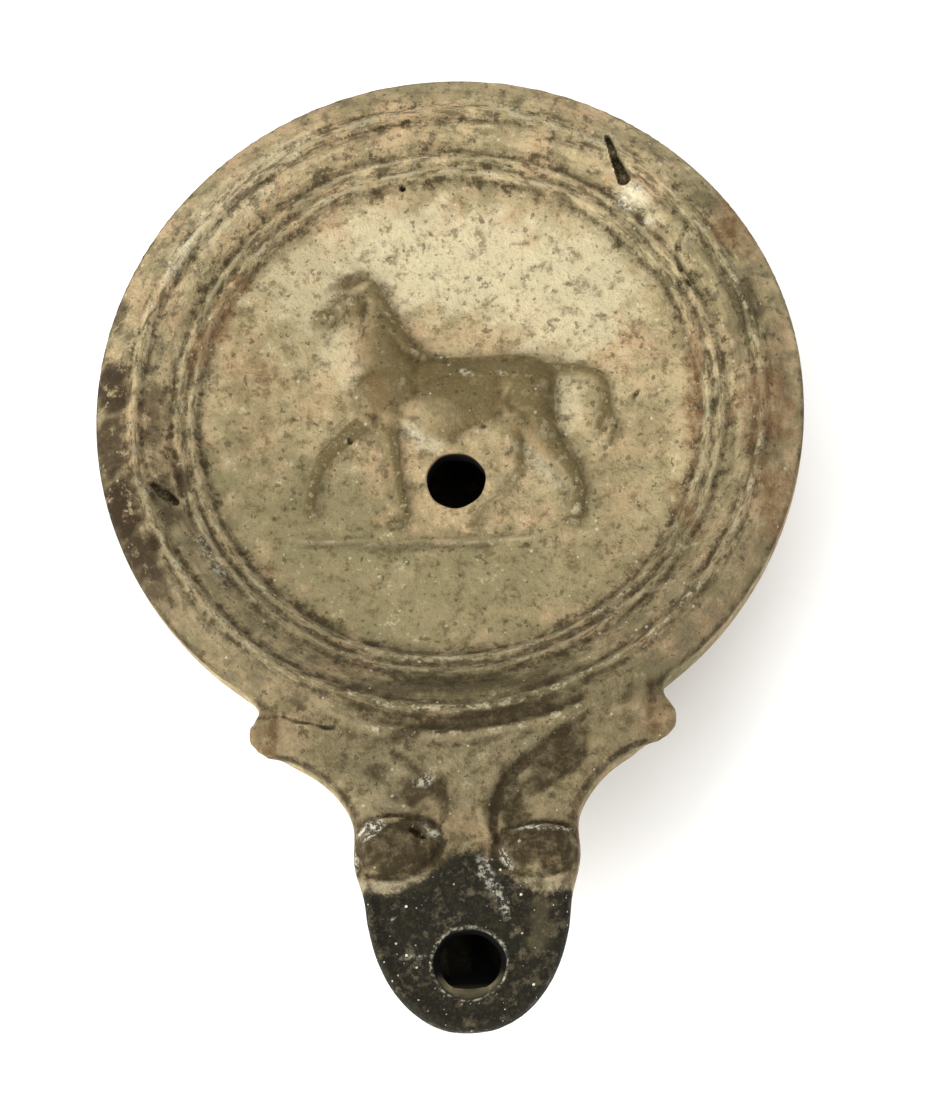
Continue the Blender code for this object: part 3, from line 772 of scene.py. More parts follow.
@dataclass(frozen=True)
class Hole:
    """A round hole through the top, with a slightly uneven, worn lip.

    Attributes:
        x: Its middle across.
        y: Its middle along.
        radius: Its radius.
        shaft_top: Height at which the lip ends and the shaft begins.
        rings: The shaft's rings, each a share of the radius and a height, from the bottom up. Narrower rings
            all touch the same side, the one towards the body.
        lip: The lip's rings, each how far outside the radius it is and how far it drops below the last.
        lip_width: How far outside the radius the lip begins.
        underside: Height over which all clay at the hole belongs to the top.
    """

    x: float
    y: float
    radius: float
    shaft_top: float
    rings: tuple[Pair, ...]
    lip: tuple[Pair, ...] = ((0.09, 0.06), (0.03, 0.18), (0.0, 0.4))
    lip_width: float = 0.22
    underside: float = 19.5

    def reach(self, turn: float) -> float:
        """The hole's radius in one direction."""
        return self.radius * (1 + 0.012 * math.sin(3 * turn + 1) + 0.008 * math.sin(7 * turn))

    def is_near(self, point: Vector) -> bool:
        """Whether a point lies at this hole."""
        return math.hypot(point.x - self.x, point.y - self.y) < self.radius + 2

    def shaft(self) -> bmesh.types.BMesh:
        """The form of the shaft under the lip."""
        def place(turn: float, ring: int) -> tuple[float, float, float]:
            """Where a point of one ring goes."""
            share, height = self.rings[ring]
            reach = share * self.reach(turn)
            slide = self.radius * (1 - share)
            return self.x + reach * math.cos(turn), self.y + slide + reach * math.sin(turn), height

        return lofted(72, len(self.rings) - 1, place)

    def open_mouth(self, bm: bmesh.types.BMesh) -> None:
        """Takes the clay out of the mouth and turns its edge down in a small rounded lip."""
        inside = []
        for face in bm.faces:
            middle = face.calc_center_median()
            away = math.hypot(middle.x - self.x, middle.y - self.y)
            if middle.z > self.underside and away < self.radius + self.lip_width:
                inside.append(face)
        bmesh.ops.delete(bm, geom=inside, context="FACES")
        ring = [edge for edge in bm.edges if edge.is_boundary and self.is_near(edge.verts[0].co)]
        self.place_ring(ring, self.lip_width, 0.0)
        for wider, drop in self.lip:
            made = bmesh.ops.extrude_edge_only(bm, edges=ring)["geom"]
            ring = [part for part in made if isinstance(part, bmesh.types.BMEdge) and part.is_boundary]
            self.place_ring(ring, wider, drop)

    def place_ring(self, ring: Sequence[bmesh.types.BMEdge], wider: float, drop: float) -> None:
        """Moves a ring of edges to a distance outside the hole's radius, and lowers it."""
        for vert in {vert for edge in ring for vert in edge.verts}:
            turn = math.atan2(vert.co.y - self.y, vert.co.x - self.x)
            reach = self.reach(turn) + wider
            vert.co.x, vert.co.y = self.x + reach * math.cos(turn), self.y + reach * math.sin(turn)
            vert.co.z -= drop


@dataclass
class LampBody:
    """The whole lamp, one hollow piece of clay.

    Attributes:
        mouldings: Its turned outside.
        nozzle: Its nozzle.
        horse: The relief on its discus.
        wear: Its chips and marks.
        voxel: Spacing of the even mesh that the plain forms are joined in.
        smoothing: How often the even mesh is smoothed.
        seam_radius: Where the nozzle's top may first rise through the shoulder's.
        seam_fillet: Difference in height over which the two run into each other.
        border_groove: Radius of the groove between the shoulder's outer ridge and the nozzle's field.
        border_line: Radius of the raised line outside that groove.
        chamber_base: Radius of the chamber's flat floor.
        chamber_bulge: How much wider the chamber is at its widest.
        chamber_height: How far its widest place lies above its floor.
        chamber_roof: The chamber's roof, from its edge to its middle, as (radius, height).
        filling_hole: The hole in the discus.
        wick_shaft: The rings of the wick hole's shaft.
        holes: Both holes.
    """

    mouldings: Mouldings = field(default_factory=Mouldings)
    nozzle: Nozzle = field(default_factory=Nozzle)
    horse: Horse = field(default_factory=Horse)
    wear: Wear = field(default_factory=Wear)
    voxel: float = 1.0
    quick_voxel: float = 1.5
    smoothing: int = 4
    seam_radius: float = 36.6
    seam_fillet: float = 0.7
    border_groove: float = 37.9
    border_line: float = 39.7
    chamber_base: float = 17.0
    chamber_bulge: float = 21.0
    chamber_height: float = 19.4
    chamber_roof: tuple[Pair, ...] = ((36.5, 23.9), (32.4, 21.6), (29.3, 20.3), (14.6, 19.1), (0.0, 18.6))
    filling_hole: Hole = Hole(0.4, -7.3, 3.4, 20.4, ((1.0, 14.0), (1.0, 20.4)))
    wick_shaft: tuple[Pair, ...] = ((0.45, 18.1), (0.72, 21.2), (0.98, 23.5))
    holes: tuple[Hole, ...] = ()

    def __post_init__(self) -> None:
        """Adds the wick hole, which follows the nozzle's own sizes."""
        nozzle, shaft = self.nozzle, self.wick_shaft
        wick = Hole(nozzle.shift, nozzle.wick_hole_y, nozzle.wick_hole_radius, shaft[-1][1], shaft)
        self.holes = (self.filling_hole, wick)

    def top(self, x: Array, y: Array) -> Array:
        """Height of the lamp's top at each place of the plan."""
        radius = np.hypot(x, y)
        height = self.mouldings.height(x, y)
        height = height + self.horse.height(x, y) * smooth_step(radius, 29.0, 27.0)
        inside = self.nozzle.inside(x, y)
        level = self.nozzle.top + np.minimum(0, 1.2 * (inside - 1.5)) + self.nozzle.relief(x, y)
        level = level - 3.0 * smooth_step(radius, self.seam_radius + 2.0, self.seam_radius)
        joined = soft_max(height, level, self.seam_fillet)
        height = np.where((radius > self.seam_radius) & (y < -20), joined, height)
        return height + self.border(x, y) + self.wear.height(x, y)

    def border(self, x: Array, y: Array) -> Array:
        """The groove and the raised line between the shoulder's outer ridge and the nozzle's field."""
        radius = np.hypot(x, y)
        turn = np.degrees(np.arctan2(x, -y))
        span = smooth_step(turn, -21, -12) * smooth_step(turn, 26, 20)
        groove = -0.75 * smooth_step(np.abs(radius - self.border_groove), 1.3, 0.4)
        line = 0.5 * smooth_step(np.abs(radius - self.border_line), 0.85, 0.1)
        return span * (groove + line)

    def plain_form(self) -> bpy.types.Mesh:
        """The body, nozzle and knobs joined in one even mesh."""
        shop = bpy.data.collections.new("forms")
        bpy.context.scene.collection.children.link(shop)
        whole = turned(self.mouldings.plain_section(), 144)
        for part in (self.nozzle.loft(), self.nozzle.knob(Side.LEFT), self.nozzle.knob(Side.RIGHT)):
            bmesh.ops.recalc_face_normals(part, faces=part.faces)
            lump = bpy.data.meshes.new("lump")
            part.to_mesh(lump)
            part.free()
            whole.from_mesh(lump)
            bpy.data.meshes.remove(lump)
        piece = add_piece("plain_form", whole, shop)
        remesh = piece.modifiers.new("even", "REMESH")
        remesh.mode = "VOXEL"
        remesh.voxel_size = self.voxel
        mesh = finished_mesh(piece)
        bpy.data.objects.remove(piece)
        bpy.data.collections.remove(shop)
        bm = bmesh.new()
        bm.from_mesh(mesh)
        for _ in range(self.smoothing):
            bmesh.ops.smooth_vert(
                bm, verts=bm.verts, factor=0.5, use_axis_x=True, use_axis_y=True, use_axis_z=True
            )
        bm.to_mesh(mesh)
        bm.free()
        return mesh

    def refine(self, mesh: bpy.types.Mesh, wanted: Callable[[Array, Array, Array], Array]) -> None:
        """Halves the mesh's spacing in one zone.

        Args:
            mesh: The mesh to work on.
            wanted: Says for places x, y, z which are in the zone.
        """
        points = points_of(mesh)
        ends = np.empty(len(mesh.edges) * 2, np.int32)
        mesh.edges.foreach_get("vertices", ends)
        middles = points[ends.reshape(-1, 2)].mean(axis=1)
        chosen = wanted(*middles.T)
        bm = bmesh.new()
        bm.from_mesh(mesh)
        edges = [edge for edge, take in zip(bm.edges, chosen) if take]
        bmesh.ops.subdivide_edges(bm, edges=edges, cuts=1, use_grid_fill=True)
        bm.to_mesh(mesh)
        bm.free()

    def upward(self, x: Array, y: Array, z: Array) -> Array:
        """True on the lamp's top."""
        return z > self.rough_top(x, y) - 1.6

    def rough_top(self, x: Array, y: Array) -> Array:
        """The top's height without its finer forms."""
        height = self.mouldings.height(x, y)
        return np.where(self.nozzle.inside(x, y) > 0, np.maximum(height, self.nozzle.top), height)

    def top_and_foot(self, x: Array, y: Array, z: Array) -> Array:
        """True on the top, and round the foot and its groove."""
        radius = np.hypot(x, y)
        return self.upward(x, y, z) | ((z < 2.2) & (radius > 14.5) & (radius < 22.5))

    def marked_zone(self, x: Array, y: Array, z: Array) -> Array:
        """True on the top where small marks and the holes' lips need a still finer mesh."""
        return self.upward(x, y, z) & self.close_places(x, y)

    def close_places(self, x: Array, y: Array) -> Array:
        """True over the plan of the small marks and the holes' lips."""
        near = self.wear.close_places(x, y)
        for hole in self.holes:
            near |= np.abs(np.hypot(x - hole.x, y - hole.y) - hole.radius - 0.2) < 0.7
        return near

    def fine_zone(self, x: Array, y: Array, z: Array) -> Array:
        """True where rings, horse and scrolls need the finest mesh."""
        radius = np.hypot(x, y)
        rings = ((radius > 28.8) & (radius < 32.4)) | ((radius > 35.2) & (radius < 37.2))
        figure = self.horse.cover(x, y) > 0.0
        scrolls = (y < -48.2) & (y > -57.5) & (self.nozzle.inside(x, y) > 0.6)
        border = (radius > 37.1) & (radius < 40.4) & (np.abs(x) < 16) & (y < 0)
        return self.upward(x, y, z) & (rings | figure | scrolls | border | self.close_places(x, y))

    def sculpt(self, mesh: bpy.types.Mesh) -> None:
        """Sets the top of the even mesh to the lamp's moulded, carved and worn top."""
        points = points_of(mesh)
        x, y, z = points.T
        inside = np.maximum(self.mouldings.body_radius - np.hypot(x, y), self.nozzle.inside(x, y))
        share = smooth_step(inside, 0.5, 1.9) * self.upward(x, y, z)
        points[:, 2] = z + share * (self.top(x, y) - z)
        move_points(mesh, points)

    def true_underside(self, mesh: bpy.types.Mesh) -> None:
        """Puts the body's underside, away from the nozzle, on its turned section."""
        points = points_of(mesh)
        x, y, z = points.T
        radius = np.maximum(np.hypot(x, y), 1e-6)
        rim = [point for point in reversed(self.mouldings.section) if point[0] > 38]
        section = self.mouldings.underside() + rim[1:]
        best, near_r, near_z = np.full(len(x), 1e9), radius.copy(), z.copy()
        for (r0, z0), (r1, z1) in zip(section, section[1:]):
            length = (r1 - r0) ** 2 + (z1 - z0) ** 2
            share = np.clip(((radius - r0) * (r1 - r0) + (z - z0) * (z1 - z0)) / length, 0, 1)
            to_r, to_z = r0 + (r1 - r0) * share, z0 + (z1 - z0) * share
            away = np.hypot(radius - to_r, z - to_z)
            closer = away < best
            best = np.where(closer, away, best)
            near_r, near_z = np.where(closer, to_r, near_r), np.where(closer, to_z, near_z)
        clear = np.clip(np.maximum((y + 30) / 5, (np.abs(x) - 25) / 3), 0, 1)
        low = smooth_step(z, 5.0, 2.0)
        share = np.maximum(clear, low) * (best < 1.2) * ((z < self.mouldings.edge_height) | (radius > 38.9))
        points[:, 0] = x * (1 + share * (near_r / radius - 1))
        points[:, 1] = y * (1 + share * (near_r / radius - 1))
        points[:, 2] = z + share * (near_z - z)
        move_points(mesh, points)

    def chamber(self) -> bmesh.types.BMesh:
        """The oil chamber, one wall inside the body."""
        wall = self.nozzle.wall
        section = [(0.0, wall), (self.chamber_base, wall)]
        for step in range(1, 15):
            turn = math.pi / 2 * step / 14
            radius = self.chamber_base + self.chamber_bulge * math.sin(turn)
            section.append((radius, wall + self.chamber_height * (1 - math.cos(turn))))
        return turned([*section, *self.chamber_roof], 72)

    def channel(self) -> bmesh.types.BMesh:
        """The channel from the oil chamber to the wick hole, with a sloping end."""
        nozzle = self.nozzle
        end = nozzle.wick_hole_y - 0.5 * nozzle.wick_hole_radius
        rows = [(end, 0.3, 0.0), (end + 1.3, 0.72, 0.0), (end + 2.9, 1.0, 0.0), (nozzle.pad_y, 1.0, 0.0)]
        for share in (0, 0.3, 0.5, 0.7, 0.9):
            rows.append((nozzle.flare_y + share * nozzle.flare_length, 1.0, 0.0))
        rows.append((nozzle.root_y, nozzle.root_narrowing**2, nozzle.root_sink))

        def place(turn: float, ring: int) -> tuple[float, float, float]:
            """Where a point of one ring goes."""
            y, share, sink = rows[ring]
            half_width = (nozzle.half_width(y) - nozzle.wall) * share
            depth = (nozzle.depth(y) - 2 * nozzle.wall) * share
            x, z = nozzle.section_point(turn, y, half_width, nozzle.top - nozzle.wall - sink, depth)
            return nozzle.shift + x, y, z

        return lofted(32, len(rows) - 1, place)

    def inner_form(self) -> bpy.types.Mesh:
        """The chamber, the channel and the holes' shafts as one form, open at the shafts' upper ends."""
        shop = bpy.data.collections.new("inner_forms")
        bpy.context.scene.collection.children.link(shop)
        pieces = [add_piece("wick_channel", self.channel(), shop)]
        pieces += [add_piece("shaft", hole.shaft(), shop) for hole in self.holes]
        whole = add_piece("oil_chamber", self.chamber(), bpy.context.scene.collection)
        join = whole.modifiers.new("join", "BOOLEAN")
        join.operation = "UNION"
        join.operand_type = "COLLECTION"
        join.collection = shop
        join.solver = "EXACT"
        mesh = finished_mesh(whole)
        for piece in (*pieces, whole):
            bpy.data.objects.remove(piece)
        bpy.data.collections.remove(shop)
        bm = bmesh.new()
        bm.from_mesh(mesh)
        ends = {round(hole.shaft_top, 3) for hole in self.holes}
        level = [face for face in bm.faces if face.normal.z > 0.9]
        lids = [face for face in level if round(face.calc_center_median().z, 3) in ends]
        bmesh.ops.delete(bm, geom=lids, context="FACES_ONLY")
        bmesh.ops.reverse_faces(bm, faces=bm.faces)
        bm.to_mesh(mesh)
        bm.free()
        return mesh

    def hollow(self, mesh: bpy.types.Mesh) -> int:
        """Opens the top at both holes and joins their mouths to the inner form.

        Args:
            mesh: The outside, which is made hollow in place.

        Returns:
            The number of points on the outside. The points of the inside follow them.
        """
        bm = bmesh.new()
        bm.from_mesh(mesh)
        for hole in self.holes:
            hole.open_mouth(bm)
        outside = len(bm.verts)
        bm.from_mesh(self.inner_form())
        for hole in self.holes:
            rims = [edge for edge in bm.edges if edge.is_boundary and hole.is_near(edge.verts[0].co)]
            bmesh.ops.bridge_loops(bm, edges=rims)
        bmesh.ops.recalc_face_normals(bm, faces=bm.faces)
        LOG.info("open edges left: %d", sum(1 for edge in bm.edges if not edge.is_manifold))
        bm.to_mesh(mesh)
        bm.free()
        return outside

    def build(self) -> bpy.types.Object:
        """Makes the lamp's mesh and gives it the masks that its finish reads."""
        mesh = self.plain_form()
        LOG.info("plain form: %d faces", len(mesh.polygons))
        for zone in (self.top_and_foot, self.fine_zone, self.marked_zone):
            self.refine(mesh, zone)
        self.true_underside(mesh)
        self.sculpt(mesh)
        outside = self.hollow(mesh)
        LOG.info("hollowed: %d triangles", sum(len(face.vertices) - 2 for face in mesh.polygons))
        mesh.name = "lamp_clay"
        points = points_of(mesh)
        Weathering(self).write(mesh, points, outside)
        move_points(mesh, points * MM)
        mesh.polygons.foreach_set("use_smooth", [True] * len(mesh.polygons))
        mesh.set_sharp_from_angle(angle=math.radians(60))
        lamp = bpy.data.objects.new("lamp_clay", mesh)
        bpy.context.scene.collection.objects.link(lamp)
        return lamp


@dataclass
class Weathering:
    """Where grime, soot, slip and stains lie on the lamp, and where light and shade are painted on it."""

    body: LampBody
    soot_edge: tuple[Pair, ...] = (
        (-12.5, -57.0), (-8.3, -57.7), (-4.6, -56.2), (-1.3, -53.4), (0.8, -52.4), (3.5, -53.6),
        (6.1, -56.5), (8.8, -57.9), (12.6, -57.5),
    )
    olive_patch: Spot = Spot(8.9, -62.3, 1.7, 3.4, -14, 0.6)
    slip_patches: tuple[Spot, ...] = (
        Spot(-38.6, 12.8, 2.8, 1.5, 74, 0.75),
        Spot(-39.0, 4.5, 3.8, 2.6, 88, 0.95),
        Spot(-39.2, -2.6, 5.0, 2.2, 94, 0.85),
        Spot(-38.2, -9.5, 5.2, 2.8, 104, 1.0),
        Spot(-36.0, -15.8, 4.2, 2.2, 115, 0.95),
        Spot(-34.0, -20.2, 2.6, 1.2, 125, 0.7),
        Spot(-34.4, 1.0, 5.6, 1.5, 91, 0.6),
        Spot(-33.2, -9.0, 4.0, 1.5, 104, 0.75),
        Spot(-31.2, -6.6, 3.2, 0.8, 103, 0.8),
    )
    rust_patches: tuple[Spot, ...] = (
        Spot(36.6, -1.6, 4.0, 5.6, 0, 0.6),
        Spot(37.6, -12.5, 2.8, 5.6, 15, 0.6),
        Spot(33.8, 20.4, 4.2, 3.0, -50, 0.75),
        Spot(23.8, -38.4, 3.6, 2.6, 0, 0.3),
        Spot(-22.6, -38.6, 3.0, 3.0, 0, 0.4),
        Spot(28.2, 1.0, 1.2, 9.0, -4, 0.75),
        Spot(26.4, -12.5, 1.2, 5.0, 24, 0.6),
        Spot(-26.6, 12.5, 1.4, 8.5, -27, 0.7),
        Spot(-22.6, 4.0, 4.0, 6.0, 0, 0.35),
        Spot(-8.4, 4.0, 1.8, 2.6, 0, 0.35),
        Spot(-11.0, 17.0, 2.4, 0.9, 20, 0.3),
    )
    ring_lines: tuple[Pair, ...] = (
        (27.8, 0.0), (28.9, 0.6), (29.8, 1.0), (31.8, 1.0), (32.6, 0.45), (34.8, 0.4),
        (35.4, 1.0), (37.2, 1.0), (38.0, 0.3), (40.0, 0.2), (BODY_RADIUS, 0.0),
    )
    # Each patch darkens the clay: painted shade in the nozzle's hollows and just under the horse's ground
    # line, grime on the scroll discs, and darker places along the border groove, on the right shoulder and
    # at the horse's crest.
    shade_and_dirt_patches: tuple[Spot, ...] = (
        Spot(3.0, -37.9, 11.0, 1.2, 8, 0.85),
        Spot(11.6, -42.6, 5.2, 2.2, 42, 0.7),
        Spot(6.0, -47.6, 1.8, 4.6, 4, 0.75),
        Spot(-1.8, -46.6, 0.8, 2.6, 12, 0.5),
        Spot(-5.6, -46.0, 2.6, 1.6, 20, 0.45),
        Spot(-9.4, -43.6, 1.6, 1.4, 0, 0.35),
        Spot(0.4, -33.4, 16.0, 1.4, 0, 0.4),
        Spot(35.0, 10.8, 1.8, 3.4, 10, 0.7),
        Spot(33.0, 14.7, 1.4, 1.6, 0, 0.5),
        Spot(30.8, 24.0, 2.6, 1.4, -40, 0.4),
        Spot(38.4, 3.0, 1.4, 6.0, 5, 0.4),
        Spot(-8.0, -52.3, 5.9, 3.6, 6, 0.95),
        Spot(9.2, -53.2, 5.4, 3.1, -3, 1.0),
        Spot(-5.5, -15.3, 13.6, 0.35, -2.3, 0.6),
        Spot(-11.4, 17.2, 2.8, 0.9, 22, 0.75),
        Spot(36.6, -3.0, 2.6, 8.0, 0, 0.4),
        Spot(33.6, 8.0, 1.2, 7.0, 8, 0.4),
    )
    # Painted highlights on the horse where it faces the light, which lessen its painted shade.
    painted_lit_flanks: tuple[Spot, ...] = (
        Spot(-3.4, 0.4, 4.6, 1.8, 8, 0.3),
        Spot(-12.5, 13.9, 0.6, 1.6, -15, 0.5),
        Spot(-10.2, 16.3, 1.6, 0.6, 25, 0.4),
        Spot(6.0, -10.0, 5.0, 2.2, 40, 0.3),
        Spot(-10.6, 1.2, 2.4, 0.6, -50, 0.5),
    )
    # Places where the horse is darkest, on its head, chest and thigh.
    dark_places: tuple[Spot, ...] = (
        Spot(-10.9, 14.3, 1.6, 1.4, 20, 0.85),
        Spot(-13.9, 12.8, 2.1, 1.6, 15, 0.8),
        Spot(-8.5, 3.6, 2.2, 3.6, 10, 0.9),
        Spot(8.6, 1.6, 2.8, 3.2, 30, 0.95),
        Spot(11.2, -3.2, 1.3, 2.6, 30, 0.8),
    )
    # Each patch lightens the clay: painted light on the discus's upper part, on the slopes round the horse
    # that face the light and on the slope below the scroll discs, and paler clay at the chip and in other
    # places.
    lit_and_pale_patches: tuple[Spot, ...] = (
        Spot(2.0, 19.0, 17.0, 7.0, -8, 0.7),
        Spot(14.5, 14.0, 9.0, 8.0, 0, 0.6),
        Spot(-14.0, 18.0, 9.0, 6.0, 30, 0.4),
        Spot(22.1, 24.9, 2.6, 1.8, -45, 0.85),
        Spot(-24.0, 27.0, 12.0, 2.4, 42, 0.35),
        Spot(-13.0, 9.0, 2.6, 5.0, 20, 0.4),
        Spot(-3.6, -2.0, 3.0, 1.4, -30, 0.6),
        Spot(13.6, 1.4, 1.8, 4.2, 0, 0.45),
        Spot(10.6, -6.4, 6.0, 0.9, -45, 0.6),
        Spot(-9.0, -45.0, 6.0, 3.0, -30, 0.25),
        Spot(-8.2, -57.0, 5.4, 1.2, 4, 0.75),
        Spot(9.8, -57.3, 4.6, 1.2, -4, 0.5),
        Spot(0.0, -43.5, 15.0, 5.0, 0, 0.25),
    )
    # Each patch greys the clay towards olive: painted shade on the discus's lower half, and greyer clay on
    # the nozzle, its neck, the top edge and the right shoulder.
    grey_and_shade_patches: tuple[Spot, ...] = (
        Spot(-15.0, -13.0, 17.0, 9.0, -45, 1.0),
        Spot(2.0, -21.0, 22.0, 8.0, 5, 0.95),
        Spot(-20.0, -2.0, 6.0, 12.0, 10, 0.4),
        Spot(18.0, -14.0, 9.0, 9.0, 40, 0.5),
        Spot(0.0, -42.0, 22.0, 8.0, 0, 0.5),
        Spot(-6.0, 40.0, 26.0, 3.0, 0, 0.4),
        Spot(8.0, -34.0, 26.0, 4.0, 0, 0.9),
        Spot(33.0, -22.0, 10.0, 4.0, 60, 0.1),
        Spot(33.0, 16.0, 5.0, 14.0, 14, 0.7),
    )
    # Pale crusts and chips, and painted highlights on a few slopes that face the light, as on the nozzle
    # field's left rim and the horse's belly.
    pale_crust_and_highlight_patches: tuple[Spot, ...] = (
        Spot(22.0, 25.0, 1.9, 1.3, -10, 0.6),
        Spot(24.2, 22.2, 1.0, 0.7, 0, 0.4),
        Spot(-10.2, -50.6, 1.7, 1.2, 25, 0.75),
        Spot(-12.4, -53.6, 0.7, 1.9, 0, 0.6),
        Spot(-3.2, -51.0, 1.7, 0.8, -35, 0.6),
        Spot(3.0, -56.2, 0.9, 3.0, 24, 0.4),
        Spot(4.7, -59.6, 0.5, 1.8, 12, 0.5),
        Spot(5.2, -54.6, 0.6, 1.6, 30, 0.6),
        Spot(9.2, -51.2, 3.6, 0.35, -3, 0.6),
        Spot(-5.8, -65.4, 1.8, 0.4, 0, 0.3),
        Spot(-8.2, -61.0, 0.6, 0.5, 0, 0.5),
        Spot(-4.1, -44.6, 1.1, 0.9, 0, 0.45),
        Spot(-3.6, -1.8, 2.0, 0.9, -40, 0.25),
        Spot(2.6, 5.2, 1.5, 0.35, -18, 0.5),
        Spot(6.0, 5.0, 1.4, 0.3, -15, 0.4),
        Spot(-27.8, -16.8, 4.0, 0.8, -60, 0.35),
        Spot(-30.6, 19.8, 4.5, 0.6, 57, 0.35),
    )

    def masks(self, x: Array, y: Array, z: Array, inner: Array) -> dict[Mask, Array]:
        """Each mask's value at each point, where inner is 1 on the inside's points."""
        top = self.body.top(x, y)
        on_top = smooth_step(z - top, -1.2, -0.3) * (1 - inner)
        radius = np.hypot(x, y)
        hollow = self.hollowness(x, y, top, on_top > 0) * on_top
        nozzle = self.body.nozzle
        edge = sum(smooth_step(np.abs(boss.distance(x, y) - 1.03), 0.12, 0.03) for boss in nozzle.bosses)
        # Painted shade along the curls' grooves in the nozzle's hollows.
        curls = -1.6 * sum(curl.height(x, y) for curl in nozzle.curls)
        # Painted shade: the discus grows darker towards its side by the nozzle, where its dish faces away
        # from the light.
        bottom = 0.5 * smooth_step(y, 10.0, -26.0) * smooth_step(radius, 26.0, 31.0)
        shade = self.patches(self.shade_and_dirt_patches, x, y, 0.3) + bottom + curls
        pale = np.maximum(self.patches(self.pale_crust_and_highlight_patches, x, y, 0.35), self.lip_crust(x, y))
        return {
            Mask.RECESS: np.clip(hollow + edge, 0, 1) * on_top,
            Mask.CREST: np.clip(-hollow, 0, 1) * smooth_step(y, -41.5, -38.5),
            Mask.RINGS: np.interp(radius, *zip(*self.ring_lines)) * (y > -39) * on_top,
            Mask.HOLE_SHADE_AND_SOOT: self.darkness(x, y, z, top, inner),
            Mask.HORSE_SHADE_AND_DIRT: self.figure_shade(x, y) * on_top * (radius < 28),
            Mask.SOOT: self.soot(x, y, z, top - z),
            Mask.SLIP: self.patches(self.slip_patches, x, y, 0.35),
            Mask.RUST: self.patches(self.rust_patches, x, y, 0.35) * on_top,
            Mask.SHADE_AND_DIRT: np.clip(shade, 0, 1) * on_top,
            Mask.PALE: pale * on_top,
            Mask.LIT_AND_PALE: self.patches(self.lit_and_pale_patches, x, y, 0.3) * on_top,
            Mask.GREY_AND_SHADE: self.patches(self.grey_and_shade_patches, x, y, 0.3),
            Mask.OLIVE: self.olive_patch.cover(x, y, 0.5) * on_top,
            Mask.INSIDE: inner,
        }

    def soot(self, x: Array, y: Array, z: Array, depth: Array) -> Array:
        """Soot on the wick pad, whose edge is a wave over the top and slants, ragged, down the flanks.

        Args:
            x: Places across.
            y: Places along.
            z: Their heights.
            depth: How far below the lamp's top they lie.

        Returns:
            1 where the soot is full.
        """
        aside = np.clip(np.abs(x), 0, 10)
        edge_y = np.interp(x, *zip(*self.soot_edge)) - 0.45 * np.clip(depth - 1, 0, 9)
        edge_y = edge_y + 1.6 * uneven(y, z, 3.1, 4.0) * smooth_step(depth, 1, 4)
        pad = smooth_step(y - edge_y, 1.4 - 0.1 * aside, -1.8 + 0.06 * aside)
        return np.clip(pad * (1 - 0.25 * smooth_step(z, 16, 12)), 0, 1)

    def lip_crust(self, x: Array, y: Array) -> Array:
        """A pale, broken line round the wick hole's lip."""
        nozzle = self.body.nozzle
        away = np.hypot(x - nozzle.shift, y - nozzle.wick_hole_y) - nozzle.wick_hole_radius
        return smooth_step(np.abs(away - 0.12), 0.3, 0.05) * (0.4 + 0.35 * uneven(x, y, 1.2, 9.0))

    def darkness(self, x: Array, y: Array, z: Array, top: Array, inner: Array) -> Array:
        """Painted shade inside the holes and on the chamber's inside below them, with soot in the wick hole:
        1 there, but for the wick hole's sloping wall at the tip, which the light reaches.
        """
        dark = np.zeros_like(x)
        for hole in self.body.holes:
            away = np.hypot(x - hole.x, y - hole.y) - hole.radius
            dark = np.maximum(dark, smooth_step(away, 0.45, 0.15) * smooth_step(top - z, 0.3, 0.7))
            dark = np.maximum(dark, smooth_step(away, 6.0, 4.0) * inner * (z < 21.5))
        slope = smooth_step(self.body.nozzle.wick_hole_y - y, 0.6, 2.2) * smooth_step(z, 20.6, 22.2)
        return dark * (1 - slope)

    def figure_shade(self, x: Array, y: Array) -> Array:
        """How dark the horse is: painted shade along its upper right edges, which face away from the light,
        and painted highlight at its lower left ones, which face it, over a body that is darker with grime.
        """
        horse = self.body.horse
        up = y - horse.shift_y
        figure = horse.figure(x, up)
        lean = horse.figure(x + 0.45, up + 0.45) - horse.figure(x - 0.45, up - 0.45)
        lit = smooth_step(lean, 0.1, 0.75)
        pale = self.patches(self.painted_lit_flanks, x, y, 0.25)
        dark = self.patches(self.dark_places, x, y, 0.15)
        # Painted shade over the whole figure, lessened where its slopes face the light and at the painted
        # highlights.
        shade = smooth_step(figure, 0.06, 0.34) * (0.96 - 0.5 * lit - pale)
        return np.clip(np.maximum(shade, dark), 0, 0.95)

    def hollowness(self, x: Array, y: Array, top: Array, wanted: Array) -> Array:
        """How far the top lies below what is round it, over 0 in hollows and under 0 on ridges.

        Args:
            x: Places across.
            y: Places along.
            top: The top's height there.
            wanted: True at the places to work out. The rest get 0.

        Returns:
            About 1 in a sharp groove and -1 on a sharp ridge.
        """
        across, along = x[wanted], y[wanted]
        rise = np.zeros_like(across)
        for reach, share, full in ((0.7, 0.6, 0.22), (1.8, 0.4, 0.6)):
            for turn in range(5):
                angle = math.tau * turn / 5 + reach
                beside = self.body.top(across + reach * math.cos(angle), along + reach * math.sin(angle))
                rise += share * (beside - top[wanted]) / full / 5
        hollow = np.zeros_like(x)
        hollow[wanted] = rise
        return hollow

    @staticmethod
    def patches(spots: Sequence[Spot], x: Array, y: Array, ragged: float) -> Array:
        """The highest cover of several patches at each place."""
        cover = np.zeros_like(x)
        for spot in spots:
            cover = np.maximum(cover, spot.cover(x, y, ragged))
        return cover

